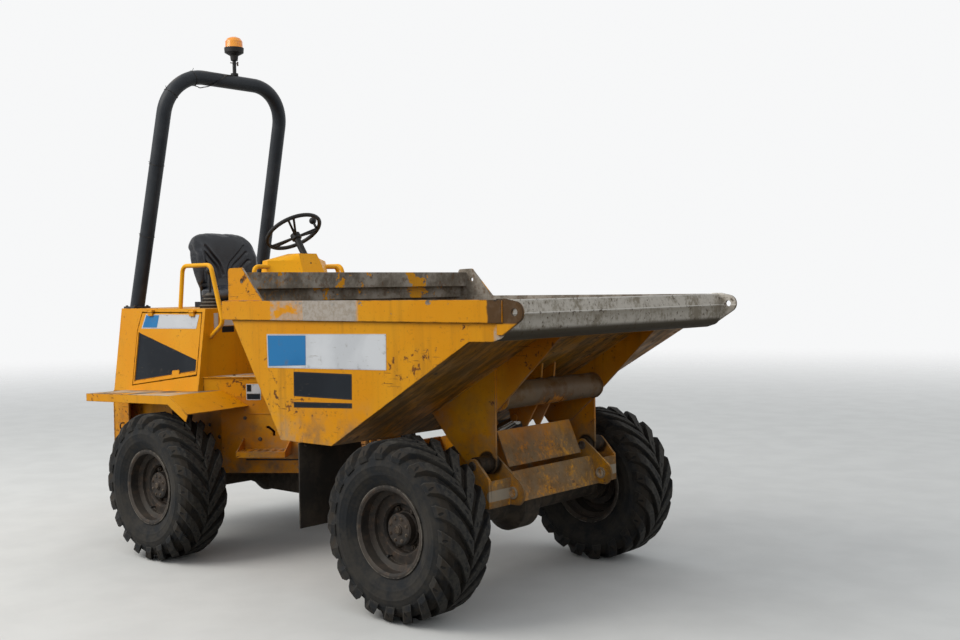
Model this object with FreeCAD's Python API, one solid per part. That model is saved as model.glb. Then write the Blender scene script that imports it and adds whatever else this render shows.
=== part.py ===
import FreeCAD, Part
import math
import os

os.makedirs("parts", exist_ok=True)
V = FreeCAD.Vector

# Frame: millimetres, +X is the skip end, +Y the driver's left, +Z up.
# The origin lies on the ground, midway between the two axles and between the two ends.

# Running gear
HALF_LENGTH = 1770.0
WHEELBASE = 1935.0
FRONT_X = WHEELBASE / 2
REAR_X = -WHEELBASE / 2
TYRE_R = 415.0
AXLE_Z = TYRE_R
TREAD_R = 387.0
TRACK_HALF = 765.0
TYRE_HALF_WIDTH = 145.0
BEAD_R = 196.0
BEAD_HALF = 110.0
RIM_FLANGE_R = 211.0
RIM_HALF_WIDTH = 118.0
LUG_COUNT = 20
HUB_R = 88.0
SPINDLE_R = 35.0
RUNNING_FIT = 0.05
HUB_GAP = 3.0
AXLE_TUBE_R = 60.0
DIFF_R = 132.0
PAD_TOP = 493.5
PAD_HALF_X = 66.0

# Articulation joint
PIVOT_Z = 560.0
PIVOT_PIN_R = 30.0
LUG_R = 62.0
LUG_BOTTOM = (PIVOT_Z - 108, PIVOT_Z - 80)
LUG_TOP = (PIVOT_Z + 80, PIVOT_Z + 108)
BLOCK_Z = (PIVOT_Z - 78, PIVOT_Z + 78)
BLOCK_HALF = 72.0
TRUNNION_R = 60.0
TRUNNION_END = 205.0
STEER_PIN = (-430.0, 168.0)
STEER_EYE = (15.0, 172.0)
STEER_STROKE = 96.0
STEER_PIN_R = 15.0

# Front chassis
FRONT_PLATE_X = (122.0, 142.0)
SIDE_OUT = 362.0
PLATE = 12.0
SIDE_IN = SIDE_OUT - PLATE
EAR_OUT = 516.0
EAR_IN = EAR_OUT - 16
CHASSIS_BOTTOM = PAD_TOP
CROSS_FRONT = 1256.0
TIP_PIVOT = (1155.5, 683.5)
TIP_PIN_R = 22.0
TIP_EAR_R = 34.0
RAM_BASE = (400.0, 540.0)
RAM_PIN_R = 24.0
TIE_EYE = (1271.0, 550.0)
TIE_HOLE_R = 20.0
TIE_BOSS_R = 27.0
TIE_LOBE_R = 67.0
NOSE_TOP = (1212.0, 636.0)

# Skip
SKIP_HALF = 880.0
SHEET = 6.0
RAIL_DEPTH = 15.0
RAIL_OUT = SKIP_HALF + RAIL_DEPTH
RAIL_TOP = 1464.0
RAIL_BOTTOM = RAIL_TOP - 96
RAIL_REAR = -228.0
RAIL_FRONT = 1660.0
SKIP_REAR_TOP = (RAIL_REAR + 2, RAIL_TOP)
SKIP_REAR_LOW = (214.5, 774.5)
SKIP_FRONT_LOW = (588.5, 774.5)
SKIP_BEND_A = (1467.5, 1286.5)
SKIP_BEND_B = (1597.5, 1288.5)
LIP_ROLL = (1626.0, 1349.0)
LIP_ROLL_R = 50.0
LIP_RIB = (1680.0, 1405.0)
LIP_TOP = (1668.0, RAIL_TOP)
LIP_EAR_R = 45.0
LIP_EYE = (HALF_LENGTH - LIP_EAR_R, 1412.5)
LIP_EYE_R = 16.0
WING_TOP = 1634.0
WING_EYE = (-62.5, 1565.5)
WING_EYE_R = 12.0
HEAD_TOP = 1605.0
LEG_OUT = 406.0
LEG_IN = LEG_OUT - PLATE
STIFF_IN = LEG_IN - PLATE
LEG_FRONT = 1205.0
LEG_BOSS_R = 40.0
CROSS_TUBE_R = 64.0
RAM_EYE = (1040.0, 860.0)
RIB_IN = 45.0
EYE_HALF = 38.0

# Rear chassis
CH_HALF = 506.0
CH_BOTTOM = 462.0
CH_TOP = 905.0
REAR_END = -HALF_LENGTH
TAPER_START = -790.0
TAPER_END = (-420.0, 238.0)
NOSE_X = -250.0
CHEEK_OUT = 603.0
CHEEK_FRONT = REAR_END + 164
CHEEK_BOTTOM = 500.0
HITCH_X = REAR_END + 42
HITCH_PIN_R = 14.0
JAW_Z = (510.0, 550.0)
JAW_LIP = 30.0

# Body over the engine
BODY_TOP = 1415.0
BODY_TOP_HALF = 540.0
BODY_LOW = 911.0
BODY_LOW_HALF = 605.0
BODY_REAR = REAR_END + 10
BODY_FRONT = -872.0
SKIN = 4.0
DOOR_REAR = BODY_REAR + 204
DOOR_FRONT = BODY_FRONT - 33
DOOR_TOP = BODY_TOP - 27
DOOR_FOLD = BODY_TOP - 134
DOOR_LOW_REAR = 948.0
DOOR_LOW_FRONT = 1034.0
DOOR_GAP = 6.0
DOOR_THICK = 16.0
HINGE_LINE = (555.0, DOOR_TOP + 8)
HINGE_PIN_R = 4.0
HINGE_X = (DOOR_REAR + 116, DOOR_FRONT - 105)
HINGE_LENGTH = 44.0
GRILLE_HALF = 400.0
GRILLE_Z = (960.0, 1340.0)
GRILLE_SLOTS = 8
ENGINE_BOTTOM = 620.0
ENGINE_HALF = 230.0
ENGINE_X = (BODY_REAR + 280, BODY_FRONT - 88)

# Driver's place
PLATFORM_TOP = 1020.0
PLATFORM_THICK = 6.0
PLATFORM_FRONT = -335.0
GUARD_OUT = 885.0
GUARD_REAR = CHEEK_FRONT
STEP_MIDDLE = 271.0
STEP_HALF = 142.0
STEP_OUT = 148.0
STEP_Z = 606.0
COWL_LOW = 1560.0
COWL_TOP = 1733.0
STEERING_CENTRE = V(-720, 0, 1868)
STEERING_R = 168.0
SEAT_X = -1378.0
SEAT_HALF = 235.0
LEVER_X = -1075.0
LEVER_Y = -360.0
HAND_RAIL_R = 13.0
HAND_RAIL_Y = 505.0

# Roll hoop and beacon
HOOP_LEAN = 0.252
HOOP_TOP = 2850.0
HOOP_FOOT_X = BODY_REAR + 68
HOOP_R = 44.5
HOOP_FOOT_HALF = 472.0
HOOP_TOP_HALF = 440.0
HOOP_BEND = 250.0
BEACON_Y = 46.0
BEACON_R = 56.0


def box(x0, y0, z0, x1, y1, z1):
    return Part.makeBox(x1 - x0, y1 - y0, z1 - z0, V(x0, y0, z0))


def polygonFace(points):
    return Part.Face(Part.makePolygon(points + [points[0]]))


def prismXZ(points, y0, y1):
    face = polygonFace([V(x, y0, z) for x, z in points])
    return face.extrude(V(0, y1 - y0, 0))


def prismXY(points, z0, z1):
    face = polygonFace([V(x, y, z0) for x, y in points])
    return face.extrude(V(0, 0, z1 - z0))


def prismYZ(points, x0, x1):
    face = polygonFace([V(x0, y, z) for y, z in points])
    return face.extrude(V(x1 - x0, 0, 0))


def outlineFace(start, steps, place):
    # a step of one point is a straight line to it, a step of two an arc through the first;
    # place turns a pair of numbers into a point in space
    edges = []
    a = place(*start)
    for step in steps:
        b = place(*step[-1])
        if len(step) == 2:
            edges.append(Part.Arc(a, place(*step[0]), b).toShape())
        else:
            edges.append(Part.LineSegment(a, b).toShape())
        a = b
    return Part.Face(Part.Wire(edges))


def plateXZ(start, steps, y0, y1):
    # flat plate with straight and round edges, square to Y
    return outlineFace(start, steps + [(start,)], lambda x, z: V(x, y0, z)).extrude(V(0, y1 - y0, 0))


def onCircle(centre, radius, degrees):
    a = math.radians(degrees)
    return (centre[0] + radius * math.cos(a), centre[1] + radius * math.sin(a))


def cylinder(start, direction, radius, length):
    return Part.makeCylinder(radius, length, V(*start), V(*direction))


def fuse(shapes):
    return shapes[0].multiFuse(shapes[1:]).removeSplitter()


def mirrorY(shape):
    return shape.mirror(V(0, 0, 0), V(0, 1, 0))


def bothSides(shape):
    return Part.makeCompound([shape, mirrorY(shape)])


def revolveY(points, centre):
    # points are (distance along Y, radius) about the axle line through centre
    face = polygonFace([V(centre[0], centre[1] + y, centre[2] + r) for y, r in points])
    return face.revolve(V(*centre), V(0, 1, 0), 360)


def tube(points, radius, bend):
    # round tube through the points, each inner corner turned with the bend radius
    edges = []
    start = V(*points[0])
    for i in range(1, len(points) - 1):
        corner = V(*points[i])
        back = (V(*points[i - 1]) - corner).normalize()
        ahead = (V(*points[i + 1]) - corner).normalize()
        half = back.getAngle(ahead) / 2
        reach = bend / math.tan(half)
        a = corner + back * reach
        b = corner + ahead * reach
        middle = (back + ahead).normalize()
        c = corner + middle * (bend / math.sin(half) - bend)
        edges.append(Part.LineSegment(start, a).toShape())
        edges.append(Part.Arc(a, c, b).toShape())
        start = b
    edges.append(Part.LineSegment(start, V(*points[-1])).toShape())
    path = Part.Wire(edges)
    direction = V(*points[1]) - V(*points[0])
    ring = Part.Wire([Part.Circle(V(*points[0]), direction, radius).toShape()])
    return path.makePipeShell([ring], True, False)


def leftNormal(a, b):
    length = math.hypot(b[0] - a[0], b[1] - a[1])
    return (-(b[1] - a[1]) / length, (b[0] - a[0]) / length)


def offsetPolyline(points, thick):
    # closed outline of a folded sheet: the polyline and its copy shifted to the left
    shifted = []
    last = len(points) - 1
    for i, p in enumerate(points):
        before = points[max(i - 1, 0)]
        after = points[min(i + 1, last)]
        n1 = leftNormal(before, points[max(i, 1)])
        n2 = leftNormal(points[min(i, last - 1)], after)
        k = 1 + n1[0] * n2[0] + n1[1] * n2[1]
        shifted.append((p[0] + thick * (n1[0] + n2[0]) / k, p[1] + thick * (n1[1] + n2[1]) / k))
    return points + shifted[::-1]


def write(name, shape):
    shape.exportStep("parts/" + name + ".step")


# Tyres: a hollow turned carcass with two rows of bent lugs.
# Profiles are (distance from the middle plane, radius).

CARCASS = [
    (-BEAD_HALF, BEAD_R), (-BEAD_HALF, RIM_FLANGE_R + 1), (-138, 262), (-TYRE_HALF_WIDTH, 304),
    (-136, 342), (-120, 369), (-96, TREAD_R), (96, TREAD_R), (120, 369),
    (136, 342), (TYRE_HALF_WIDTH, 304), (138, 262), (BEAD_HALF, RIM_FLANGE_R + 1), (BEAD_HALF, BEAD_R),
    (88, BEAD_R), (96, 232), (120, 270), (125, 304), (116, 338), (94, 362),
    (-94, 362), (-116, 338), (-125, 304), (-120, 270), (-96, 232), (-88, BEAD_R)]

# Ring that trims the lugs: the tread's outer form above, a line inside the carcass wall below
LUG_TRIM = [
    (-144, 334), (-147, 362), (-129, 401), (-104, TYRE_R), (104, TYRE_R), (129, 401), (147, 362),
    (144, 334), (130, 334), (126, 344), (110, 362), (92, 376), (-92, 376), (-110, 362), (-126, 344),
    (-130, 334)]

# One lug drawn flat on the tread: (around the tyre, across it, half its width around the tyre)
LUG_BAR = [(92, 2, 33), (-14, 72, 32), (-102, 152, 25)]
LUG_START = 7.2
LUG_STAGGER = 0.5


def trimmedLug(side):
    # one lug at the top of the tyre; the ring is turned so that its seam lies below
    left = [(t - w, side * y) for t, y, w in LUG_BAR]
    right = [(t + w, side * y) for t, y, w in LUG_BAR]
    bar = prismXY(left + right[::-1], 300, TYRE_R + 10)
    ring = revolveY(LUG_TRIM, (0, 0, 0))
    ring.rotate(V(0, 0, 0), V(0, 1, 0), 180)
    return ring.common(bar)


def lugRow(side, start):
    # copies of the lug, turned about the axle by equal steps
    lug = trimmedLug(side)
    lugs = []
    for i in range(LUG_COUNT):
        copy = lug.copy()
        copy.rotate(V(0, 0, 0), V(0, 1, 0), 90 - start - 360 / LUG_COUNT * i)
        lugs.append(copy)
    return lugs


def tyreAtOrigin():
    # the right-hand tyre, its outer row at -Y
    outerRow = lugRow(-1, LUG_START)
    innerRow = lugRow(1, LUG_START + 360 / LUG_COUNT * LUG_STAGGER)
    return revolveY(CARCASS, (0, 0, 0)).multiFuse(outerRow + innerRow)


# Wheels: profiles are (outboard distance, radius)

RIM_PROFILE = [
    (-RIM_HALF_WIDTH, RIM_FLANGE_R), (-BEAD_HALF, RIM_FLANGE_R), (-BEAD_HALF, BEAD_R),
    (-66, BEAD_R), (-52, 172), (44, 172), (58, BEAD_R), (BEAD_HALF, BEAD_R),
    (BEAD_HALF, RIM_FLANGE_R), (RIM_HALF_WIDTH, RIM_FLANGE_R), (RIM_HALF_WIDTH, 199),
    (BEAD_HALF + 2, 188), (62, 188), (50, 164), (30, 164), (34, 120), (22, 112), (-4, 110),
    (-4, HUB_R - 8), (-20, HUB_R - 8), (-20, 122), (8, 126), (18, 150), (16, 164),
    (-58, 164), (-70, 188), (-BEAD_HALF - 2, 188), (-RIM_HALF_WIDTH, 199)]

HUB_PROFILE = [
    (-58, SPINDLE_R + RUNNING_FIT), (-58, HUB_R), (-20, HUB_R), (-20, HUB_R - 8), (10, HUB_R - 8),
    (16, 74), (48, 74), (54, 66), (54, 26), (62, 22), (62, 0), (42, 0), (42, SPINDLE_R + RUNNING_FIT)]

STUD_COUNT = 6
STUD_CIRCLE_R = 95.0
STUD_R = 8.0


def studRing(centre, side):
    studs = []
    for i in range(STUD_COUNT):
        a = 2 * math.pi * i / STUD_COUNT
        y = centre[1] - side * 6
        start = (centre[0] + STUD_CIRCLE_R * math.cos(a), y, centre[2] + STUD_CIRCLE_R * math.sin(a))
        studs.append(cylinder(start, (0, side, 0), STUD_R, 24))
    return studs


def wheel(centre, side):
    disc = revolveY([(side * y, r) for y, r in RIM_PROFILE], centre)
    hub = revolveY([(side * y, r) for y, r in HUB_PROFILE], centre)
    return fuse([disc, hub] + studRing(centre, side))


CORNERS = [("front_left", FRONT_X, 1), ("front_right", FRONT_X, -1),
           ("rear_left", REAR_X, 1), ("rear_right", REAR_X, -1)]
rightTyre = tyreAtOrigin()
for corner, x, side in CORNERS:
    centre = V(x, side * TRACK_HALF, AXLE_Z)
    tyre = rightTyre if side < 0 else mirrorY(rightTyre)
    write("tyre_" + corner, tyre.translated(centre))
    write("wheel_" + corner, wheel(tuple(centre), side))


# Axles: one turned housing each, with a flat pad under each chassis side

HUB_FACE = TRACK_HALF - 58.0 - HUB_GAP
SPINDLE_END = TRACK_HALF + 38.0


def axle(x, padAt):
    half = [(0, DIFF_R), (60, DIFF_R), (120, 80), (170, AXLE_TUBE_R), (HUB_FACE - 40, AXLE_TUBE_R),
            (HUB_FACE - 40, HUB_R), (HUB_FACE, HUB_R), (HUB_FACE, SPINDLE_R), (SPINDLE_END, SPINDLE_R)]
    outline = half + [(SPINDLE_END, 0), (-SPINDLE_END, 0)] + [(-y, r) for y, r in half[::-1]][:-1]
    housing = revolveY(outline, (x, 0, AXLE_Z))
    pad = box(x - PAD_HALF_X, padAt - 28, AXLE_Z + 20, x + PAD_HALF_X, padAt + 28, PAD_TOP)
    return fuse([housing, pad, mirrorY(pad)])


write("axle_front", axle(FRONT_X, (SIDE_IN + SIDE_OUT) / 2))
write("axle_rear", axle(REAR_X, CH_HALF - PLATE / 2))


# Rear chassis: two side plates that taper to a narrow nose with two pivot lugs,
# and a wide rear plate with a cheek on each side

wallDir = V(TAPER_END[0] - TAPER_START, -TAPER_END[1] + CH_HALF, 0).normalize()
wallOut = V(wallDir.y, -wallDir.x, 0)


def onWall(shape):
    # from (along the tapered right wall, outwards, up) to its place, starting at the rear of the taper
    matrix = FreeCAD.Matrix(wallDir.x, wallOut.x, 0, TAPER_START, wallDir.y, wallOut.y, 0, -CH_HALF,
                            0, 0, 1, 0, 0, 0, 0, 1)
    return shape.transformGeometry(matrix)


def chassisPlan(inset):
    # half plan outline on the right, inset from the outer face of the plates
    return [(REAR_END, -CH_HALF + inset), (TAPER_START, -CH_HALF + inset),
            (TAPER_END[0] + inset * 0.4, -TAPER_END[1] + inset), (NOSE_X, -TAPER_END[1] + inset)]


def mirrorPlan(points):
    return points + [(x, -y) for x, y in points[::-1]]


def pivotLug(zRange):
    base = box(NOSE_X, -110, zRange[0], -170, 110, zRange[1])
    arm = prismXY([(-170, -110), (0, -LUG_R), (0, LUG_R), (-170, 110)], *zRange)
    eye = cylinder((0, 0, zRange[0]), (0, 0, 1), LUG_R, zRange[1] - zRange[0])
    return fuse([base, arm, eye])


def chassisShell():
    outer = prismXY(mirrorPlan(chassisPlan(0)), CH_BOTTOM, CH_TOP)
    shift = [PLATE, 0, 0, -PLATE]
    plan = [(x + dx, y) for dx, (x, y) in zip(shift, chassisPlan(PLATE))]
    inner = prismXY(mirrorPlan(plan), CH_BOTTOM - 1, CH_TOP + 1)
    noseCut = box(-500, -300, PIVOT_Z + 210, NOSE_X + 1, 300, CH_TOP + 1)
    notchX = (REAR_X - PAD_HALF_X, REAR_X + PAD_HALF_X)
    axleNotch = box(notchX[0], -CH_HALF - 1, CH_BOTTOM - 1, notchX[1], CH_HALF + 1, PAD_TOP)
    ramWindow = box(NOSE_X - PLATE - 1, 116, PIVOT_Z - 38, NOSE_X + 1, 220, PIVOT_Z + 38)
    jawMouth = box(REAR_END - 1, -70, JAW_Z[0], REAR_END + PLATE + 1, 70, JAW_Z[1])
    handSlot = onWall(prismXZ([(266, 734), (284, 734), (318, 704), (318, 678), (304, 678), (304, 698),
                               (278, 720), (266, 720)], -PLATE - 2, 2))
    return outer.cut(inner).cut(noseCut).cut(axleNotch).cut(ramWindow).cut(jawMouth).cut(handSlot)


def rearPlates():
    plate = box(REAR_END, -CHEEK_OUT, CHEEK_BOTTOM, REAR_END + PLATE, -CH_HALF, CH_TOP)
    cheek = plateXZ((REAR_END, CHEEK_BOTTOM),
                    [((CHEEK_FRONT - 60, CHEEK_BOTTOM),), ((CHEEK_FRONT, CHEEK_BOTTOM + 60),),
                     ((CHEEK_FRONT, CH_TOP),), ((REAR_END, CH_TOP),)], -CHEEK_OUT, -CHEEK_OUT + PLATE)
    return [plate, cheek, mirrorY(plate), mirrorY(cheek)]


def towJaw():
    jawBody = box(REAR_END, -70, JAW_Z[0] - JAW_LIP, REAR_END + 84, 70, JAW_Z[1] + JAW_LIP)
    slot = box(REAR_END - 1, -71, JAW_Z[0], REAR_END + 72, 71, JAW_Z[1])
    return jawBody.cut(slot)


def steeringRamLugs():
    # two plates behind the nose that hold the pin of the steering ram's barrel
    plan = box(STEER_PIN[0] - 30, 98, PIVOT_Z - 52, NOSE_X - 6, 232, PIVOT_Z - 40)
    low = plan.common(prismXY(mirrorPlan(chassisPlan(0)), CH_BOTTOM, CH_TOP))
    high = low.translated(V(0, 0, 92))
    pin = cylinder((*STEER_PIN, PIVOT_Z - 52), (0, 0, 1), STEER_PIN_R, 104)
    return [low, high, pin]


def rearChassis():
    flange = box(REAR_END, -600, CH_TOP - 6, BODY_FRONT, -CH_HALF, CH_TOP)
    inside = CH_HALF - PLATE
    crossRear = box(REAR_END + 224, -inside, 500, REAR_END + 264, inside, 560)
    bearerX = ENGINE_X[0] + 50
    crossEngine = box(bearerX, -inside, ENGINE_BOTTOM - 30, bearerX + 60, inside, ENGINE_BOTTOM)
    crossFront = box(-470, -300, 470, -440, 300, 500).common(prismXY(mirrorPlan(chassisPlan(0)), 400, 600))
    pieces = [chassisShell(), flange, mirrorY(flange), crossRear, crossEngine, crossFront, towJaw(),
              pivotLug(LUG_BOTTOM), pivotLug(LUG_TOP)]
    whole = fuse(pieces + rearPlates() + steeringRamLugs())
    pinBore = cylinder((0, 0, LUG_BOTTOM[0] - 1), (0, 0, 1), PIVOT_PIN_R, LUG_TOP[1] - LUG_BOTTOM[0] + 2)
    hitchHole = cylinder((HITCH_X, 0, JAW_Z[0] - 40), (0, 0, 1), HITCH_PIN_R, 120)
    return whole.cut(pinBore).cut(hitchHole)


write("rear_chassis", rearChassis())
pinLow = LUG_BOTTOM[0] - PLATE
pivotPin = cylinder((0, 0, pinLow), (0, 0, 1), PIVOT_PIN_R, LUG_TOP[1] - pinLow)
pivotCap = cylinder((0, 0, LUG_TOP[1]), (0, 0, 1), PIVOT_PIN_R + 14, PLATE)
write("pivot_pin", fuse([pivotPin, pivotCap]))


# Pivot block: turns on the pin, and its trunnion lets the front half roll

blockBody = box(-BLOCK_HALF, -BLOCK_HALF, BLOCK_Z[0], BLOCK_HALF + 20, BLOCK_HALF, BLOCK_Z[1])
trunnion = cylinder((BLOCK_HALF, 0, PIVOT_Z), (1, 0, 0), TRUNNION_R, TRUNNION_END - BLOCK_HALF)
collar = cylinder((FRONT_PLATE_X[1] + 3, 0, PIVOT_Z), (1, 0, 0), TRUNNION_R + 22, 22)
armEnd = STEER_EYE[1] + 22
armPlan = [(-40, 60), (STEER_EYE[0] - 28, armEnd), (STEER_EYE[0] + 28, armEnd), (60, 60)]
armLow = prismXY(armPlan, PIVOT_Z - 36, PIVOT_Z - 26)
armHigh = prismXY(armPlan, PIVOT_Z + 26, PIVOT_Z + 36)
headLow = cylinder((*STEER_EYE, PIVOT_Z - 46), (0, 0, 1), 20, 10)
headHigh = cylinder((*STEER_EYE, PIVOT_Z + 36), (0, 0, 1), 20, 10)
block = fuse([blockBody, trunnion, collar, armLow, armHigh, headLow, headHigh])
blockBore = cylinder((0, 0, BLOCK_Z[0] - 12), (0, 0, 1), PIVOT_PIN_R + RUNNING_FIT, 180)
write("pivot_block", block.cut(blockBore))


# Rams: a barrel turning on its base pin, and a rod whose eye lies on the pin it pushes.
# The table's columns: base, eye, pins' direction, barrel radius, rod radius, half width of both eyes,
# base boss radius, rod eye radius, base pin radius, barrel's share of the length, inward stroke

RAMS = {
    "steer_ram": ((*STEER_PIN, PIVOT_Z), (*STEER_EYE, PIVOT_Z), (0, 0, 1), 32, 16, 24, 26, 24,
                  STEER_PIN_R, 0.66, STEER_STROKE),
    "tip_ram": ((RAM_BASE[0], 0, RAM_BASE[1]), (RAM_EYE[0], 0, RAM_EYE[1]), (0, 1, 0), 44, 24, EYE_HALF,
                46, 36, RAM_PIN_R, 0.72, 0)}
for name, (base, eye, axis, barrelR, rodR, eyeHalf, bossR, eyeR, pinR, share, stroke) in RAMS.items():
    start = V(*base)
    end = V(*eye)
    side = V(*axis)
    line = (end - start).normalize()
    length = (end - start).Length
    boss = Part.makeCylinder(bossR, 2 * eyeHalf, start - side * eyeHalf, side)
    sleeve = Part.makeCylinder(barrelR, length * share - bossR * 0.8, start + line * (bossR * 0.8), line)
    gland = Part.makeCylinder(barrelR + 4, 22, start + line * (length * share - 22), line)
    rodBore = Part.makeCylinder(rodR + RUNNING_FIT, length * share, start + line * (bossR + 14), line)
    pinBore = Part.makeCylinder(pinR + RUNNING_FIT, 2 * eyeHalf + 2, start - side * (eyeHalf + 1), side)
    write(name + "_barrel", fuse([boss, sleeve, gland]).cut(rodBore).cut(pinBore))
    rodStart = bossR + 20 + stroke
    rod = Part.makeCylinder(rodR, length - rodStart, start + line * rodStart, line)
    rodEye = Part.makeCylinder(eyeR, 2 * eyeHalf, end - side * eyeHalf, side)
    write(name + "_rod", fuse([rod, rodEye]))


# Front chassis: side plates with outer ears, a box nose and the tipping pins

def frontChassis():
    padFront = FRONT_X + PAD_HALF_X
    padRear = FRONT_X - PAD_HALF_X
    eyeX, eyeZ = TIE_EYE
    sidePlate = plateXZ((FRONT_PLATE_X[1], 480),
                        [((FRONT_PLATE_X[1], 650),), ((330, 700),), ((1100, 700),), ((1134, 709.8),),
                         (onCircle(TIP_PIVOT, TIP_EAR_R, 90), onCircle(TIP_PIVOT, TIP_EAR_R, 51.7)),
                         (onCircle(TIE_EYE, TIE_LOBE_R, 51.7),),
                         (onCircle(TIE_EYE, TIE_LOBE_R, 0), (eyeX + 36, CHASSIS_BOTTOM)),
                         ((padFront, CHASSIS_BOTTOM),), ((padFront, PAD_TOP + 0.01),),
                         ((padRear, PAD_TOP + 0.01),), ((padRear, 480),)], -SIDE_OUT, -SIDE_IN)
    eyeBoss = cylinder((eyeX, -SIDE_OUT - 6, eyeZ), (0, 1, 0), TIE_BOSS_R, PLATE + 12)
    eyeHole = cylinder((eyeX, -SIDE_OUT - 9, eyeZ), (0, 1, 0), TIE_HOLE_R, 60)
    rearPlate = box(FRONT_PLATE_X[0], -SIDE_OUT, 480, FRONT_PLATE_X[1], SIDE_OUT, 650)
    ear = plateXZ((1000, 520), [(onCircle(TIP_PIVOT, TIP_EAR_R, 145),),
                                (onCircle(TIP_PIVOT, TIP_EAR_R, 90), onCircle(TIP_PIVOT, TIP_EAR_R, 42)),
                                ((CROSS_FRONT - 3, 628),), ((CROSS_FRONT, CHASSIS_BOTTOM),),
                                ((1000, CHASSIS_BOTTOM),)], -EAR_OUT, -EAR_IN)
    noseLine = [(1120, CHASSIS_BOTTOM), (CROSS_FRONT, CHASSIS_BOTTOM), NOSE_TOP]
    nose = prismXZ(offsetPolyline(noseLine, 10), -SIDE_IN, SIDE_IN)
    wing = prismXZ([(1000, CHASSIS_BOTTOM), (CROSS_FRONT, CHASSIS_BOTTOM), (CROSS_FRONT, 620),
                    (CROSS_FRONT - 10, 620), (CROSS_FRONT - 10, CHASSIS_BOTTOM + 10),
                    (1000, CHASSIS_BOTTOM + 10)], -EAR_IN, -SIDE_OUT)
    restPost = box(430, -SIDE_OUT - 40, 660, 510, -SIDE_IN, 745)
    restPad = box(424, -SIDE_OUT - 46, 745, 516, -SIDE_IN + 6, 769)
    flapBracket = box(330, -870, 748, 344, -SIDE_OUT, 768)
    flapPost = box(330, -SIDE_OUT, 690, 344, -SIDE_IN, 768)
    ramPin = cylinder((RAM_BASE[0], -SIDE_IN, RAM_BASE[1]), (0, 1, 0), RAM_PIN_R, 2 * SIDE_IN)
    half = [sidePlate, eyeBoss, ear, wing, restPost, restPad, flapBracket, flapPost]
    whole = fuse([rearPlate, nose, ramPin] + half + [mirrorY(s) for s in half])
    trunnionBore = cylinder((100, 0, PIVOT_Z), (1, 0, 0), TRUNNION_R + RUNNING_FIT, 60)
    return whole.cut(trunnionBore).cut(eyeHole).cut(mirrorY(eyeHole))


tipPin = cylinder((TIP_PIVOT[0], -EAR_OUT - 6, TIP_PIVOT[1]), (0, 1, 0), TIP_PIN_R, EAR_OUT - SIDE_IN + 12)
write("front_chassis", frontChassis().cut(tipPin).cut(mirrorY(tipPin)))
write("tipping_pins", bothSides(tipPin))
write("mudflaps", bothSides(box(344, -SKIP_HALF, 350, 352, -470, 768)))


# Skip: open tray of folded sheet with a headboard, top rails and a folded lip

def lipEar():
    # teardrop plate at the end of each rail, round about its eye
    plate = plateXZ((RAIL_FRONT - 30, 1318),
                    [((RAIL_FRONT, 1318),), (onCircle(LIP_EYE, LIP_EAR_R, -57.6),),
                     (onCircle(LIP_EYE, LIP_EAR_R, 0), onCircle(LIP_EYE, LIP_EAR_R, 78)),
                     ((LIP_TOP[0] + 12, RAIL_TOP + 4),), ((RAIL_FRONT - 30, RAIL_TOP + 4),)],
                    -SKIP_HALF - 9, -SKIP_HALF + 4)
    hole = cylinder((LIP_EYE[0], -RAIL_OUT - 5, LIP_EYE[1]), (0, 1, 0), LIP_EYE_R, 40)
    return plate.cut(hole)


def lipRoll(radius):
    # start, middle and end of the rolled underside of the lip
    return [onCircle(LIP_ROLL, radius, degrees) for degrees in (-73.6, -36.3, 1)]


def wingPlate():
    # upright plate at the rear corner, rounded on top, with an eye
    rear = RAIL_REAR + 52.5
    plate = plateXZ((rear, RAIL_TOP),
                    [((rear, WING_TOP - 24),), ((rear + 6, WING_TOP - 8), (rear + 22, WING_TOP - 2)),
                     ((rear + 103, WING_TOP),), ((rear + 115, WING_TOP - 3), (rear + 124, WING_TOP - 12)),
                     ((rear + 278, RAIL_TOP),)], -SKIP_HALF - 10, -SKIP_HALF + 2)
    hole = cylinder((WING_EYE[0], -RAIL_OUT, WING_EYE[1]), (0, 1, 0), WING_EYE_R, 30)
    return plate.cut(hole)


def skip():
    line = [SKIP_REAR_TOP, SKIP_REAR_LOW, SKIP_FRONT_LOW, SKIP_BEND_A, SKIP_BEND_B]
    floor = prismXZ(offsetPolyline(line, SHEET), -SKIP_HALF, SKIP_HALF)
    low, middle, high = lipRoll(LIP_ROLL_R)
    inLow, inMiddle, inHigh = lipRoll(LIP_ROLL_R - SHEET)
    normal = leftNormal(SKIP_BEND_A, SKIP_BEND_B)
    joint = (SKIP_BEND_B[0] + SHEET * normal[0], SKIP_BEND_B[1] + SHEET * normal[1])
    lip = plateXZ(SKIP_BEND_B, [(low,), (middle, high), (LIP_RIB,), (LIP_TOP,), ((LIP_TOP[0] - SHEET, RAIL_TOP),),
                                ((LIP_RIB[0] - SHEET, LIP_RIB[1]),), (inHigh,), (inMiddle, inLow), (joint,)],
                  -SKIP_HALF, SKIP_HALF)
    sideEnd = lipRoll(LIP_ROLL_R - SHEET * 0.4) + [(LIP_RIB[0] - SHEET / 2, LIP_RIB[1])]
    side = prismXZ(line + sideEnd + [(LIP_TOP[0] - SHEET / 2, RAIL_TOP)], -SKIP_HALF, -SKIP_HALF + SHEET)
    rail = box(RAIL_REAR, -RAIL_OUT, RAIL_BOTTOM, RAIL_FRONT, -SKIP_HALF, RAIL_TOP)
    headRear = RAIL_REAR + 69
    headLine = [(SKIP_REAR_TOP[0], RAIL_TOP - SHEET), (headRear, RAIL_TOP - SHEET), (headRear, HEAD_TOP),
                (headRear + 45, HEAD_TOP), (headRear + 45, HEAD_TOP - 74), (headRear + 9, HEAD_TOP - 74)]
    headboard = prismXZ(offsetPolyline(headLine, SHEET), -SKIP_HALF + 2, SKIP_HALF - 2)
    half = [side, rail, lipEar(), wingPlate()]
    return fuse([floor, lip, headboard] + half + [mirrorY(s) for s in half])


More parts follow.
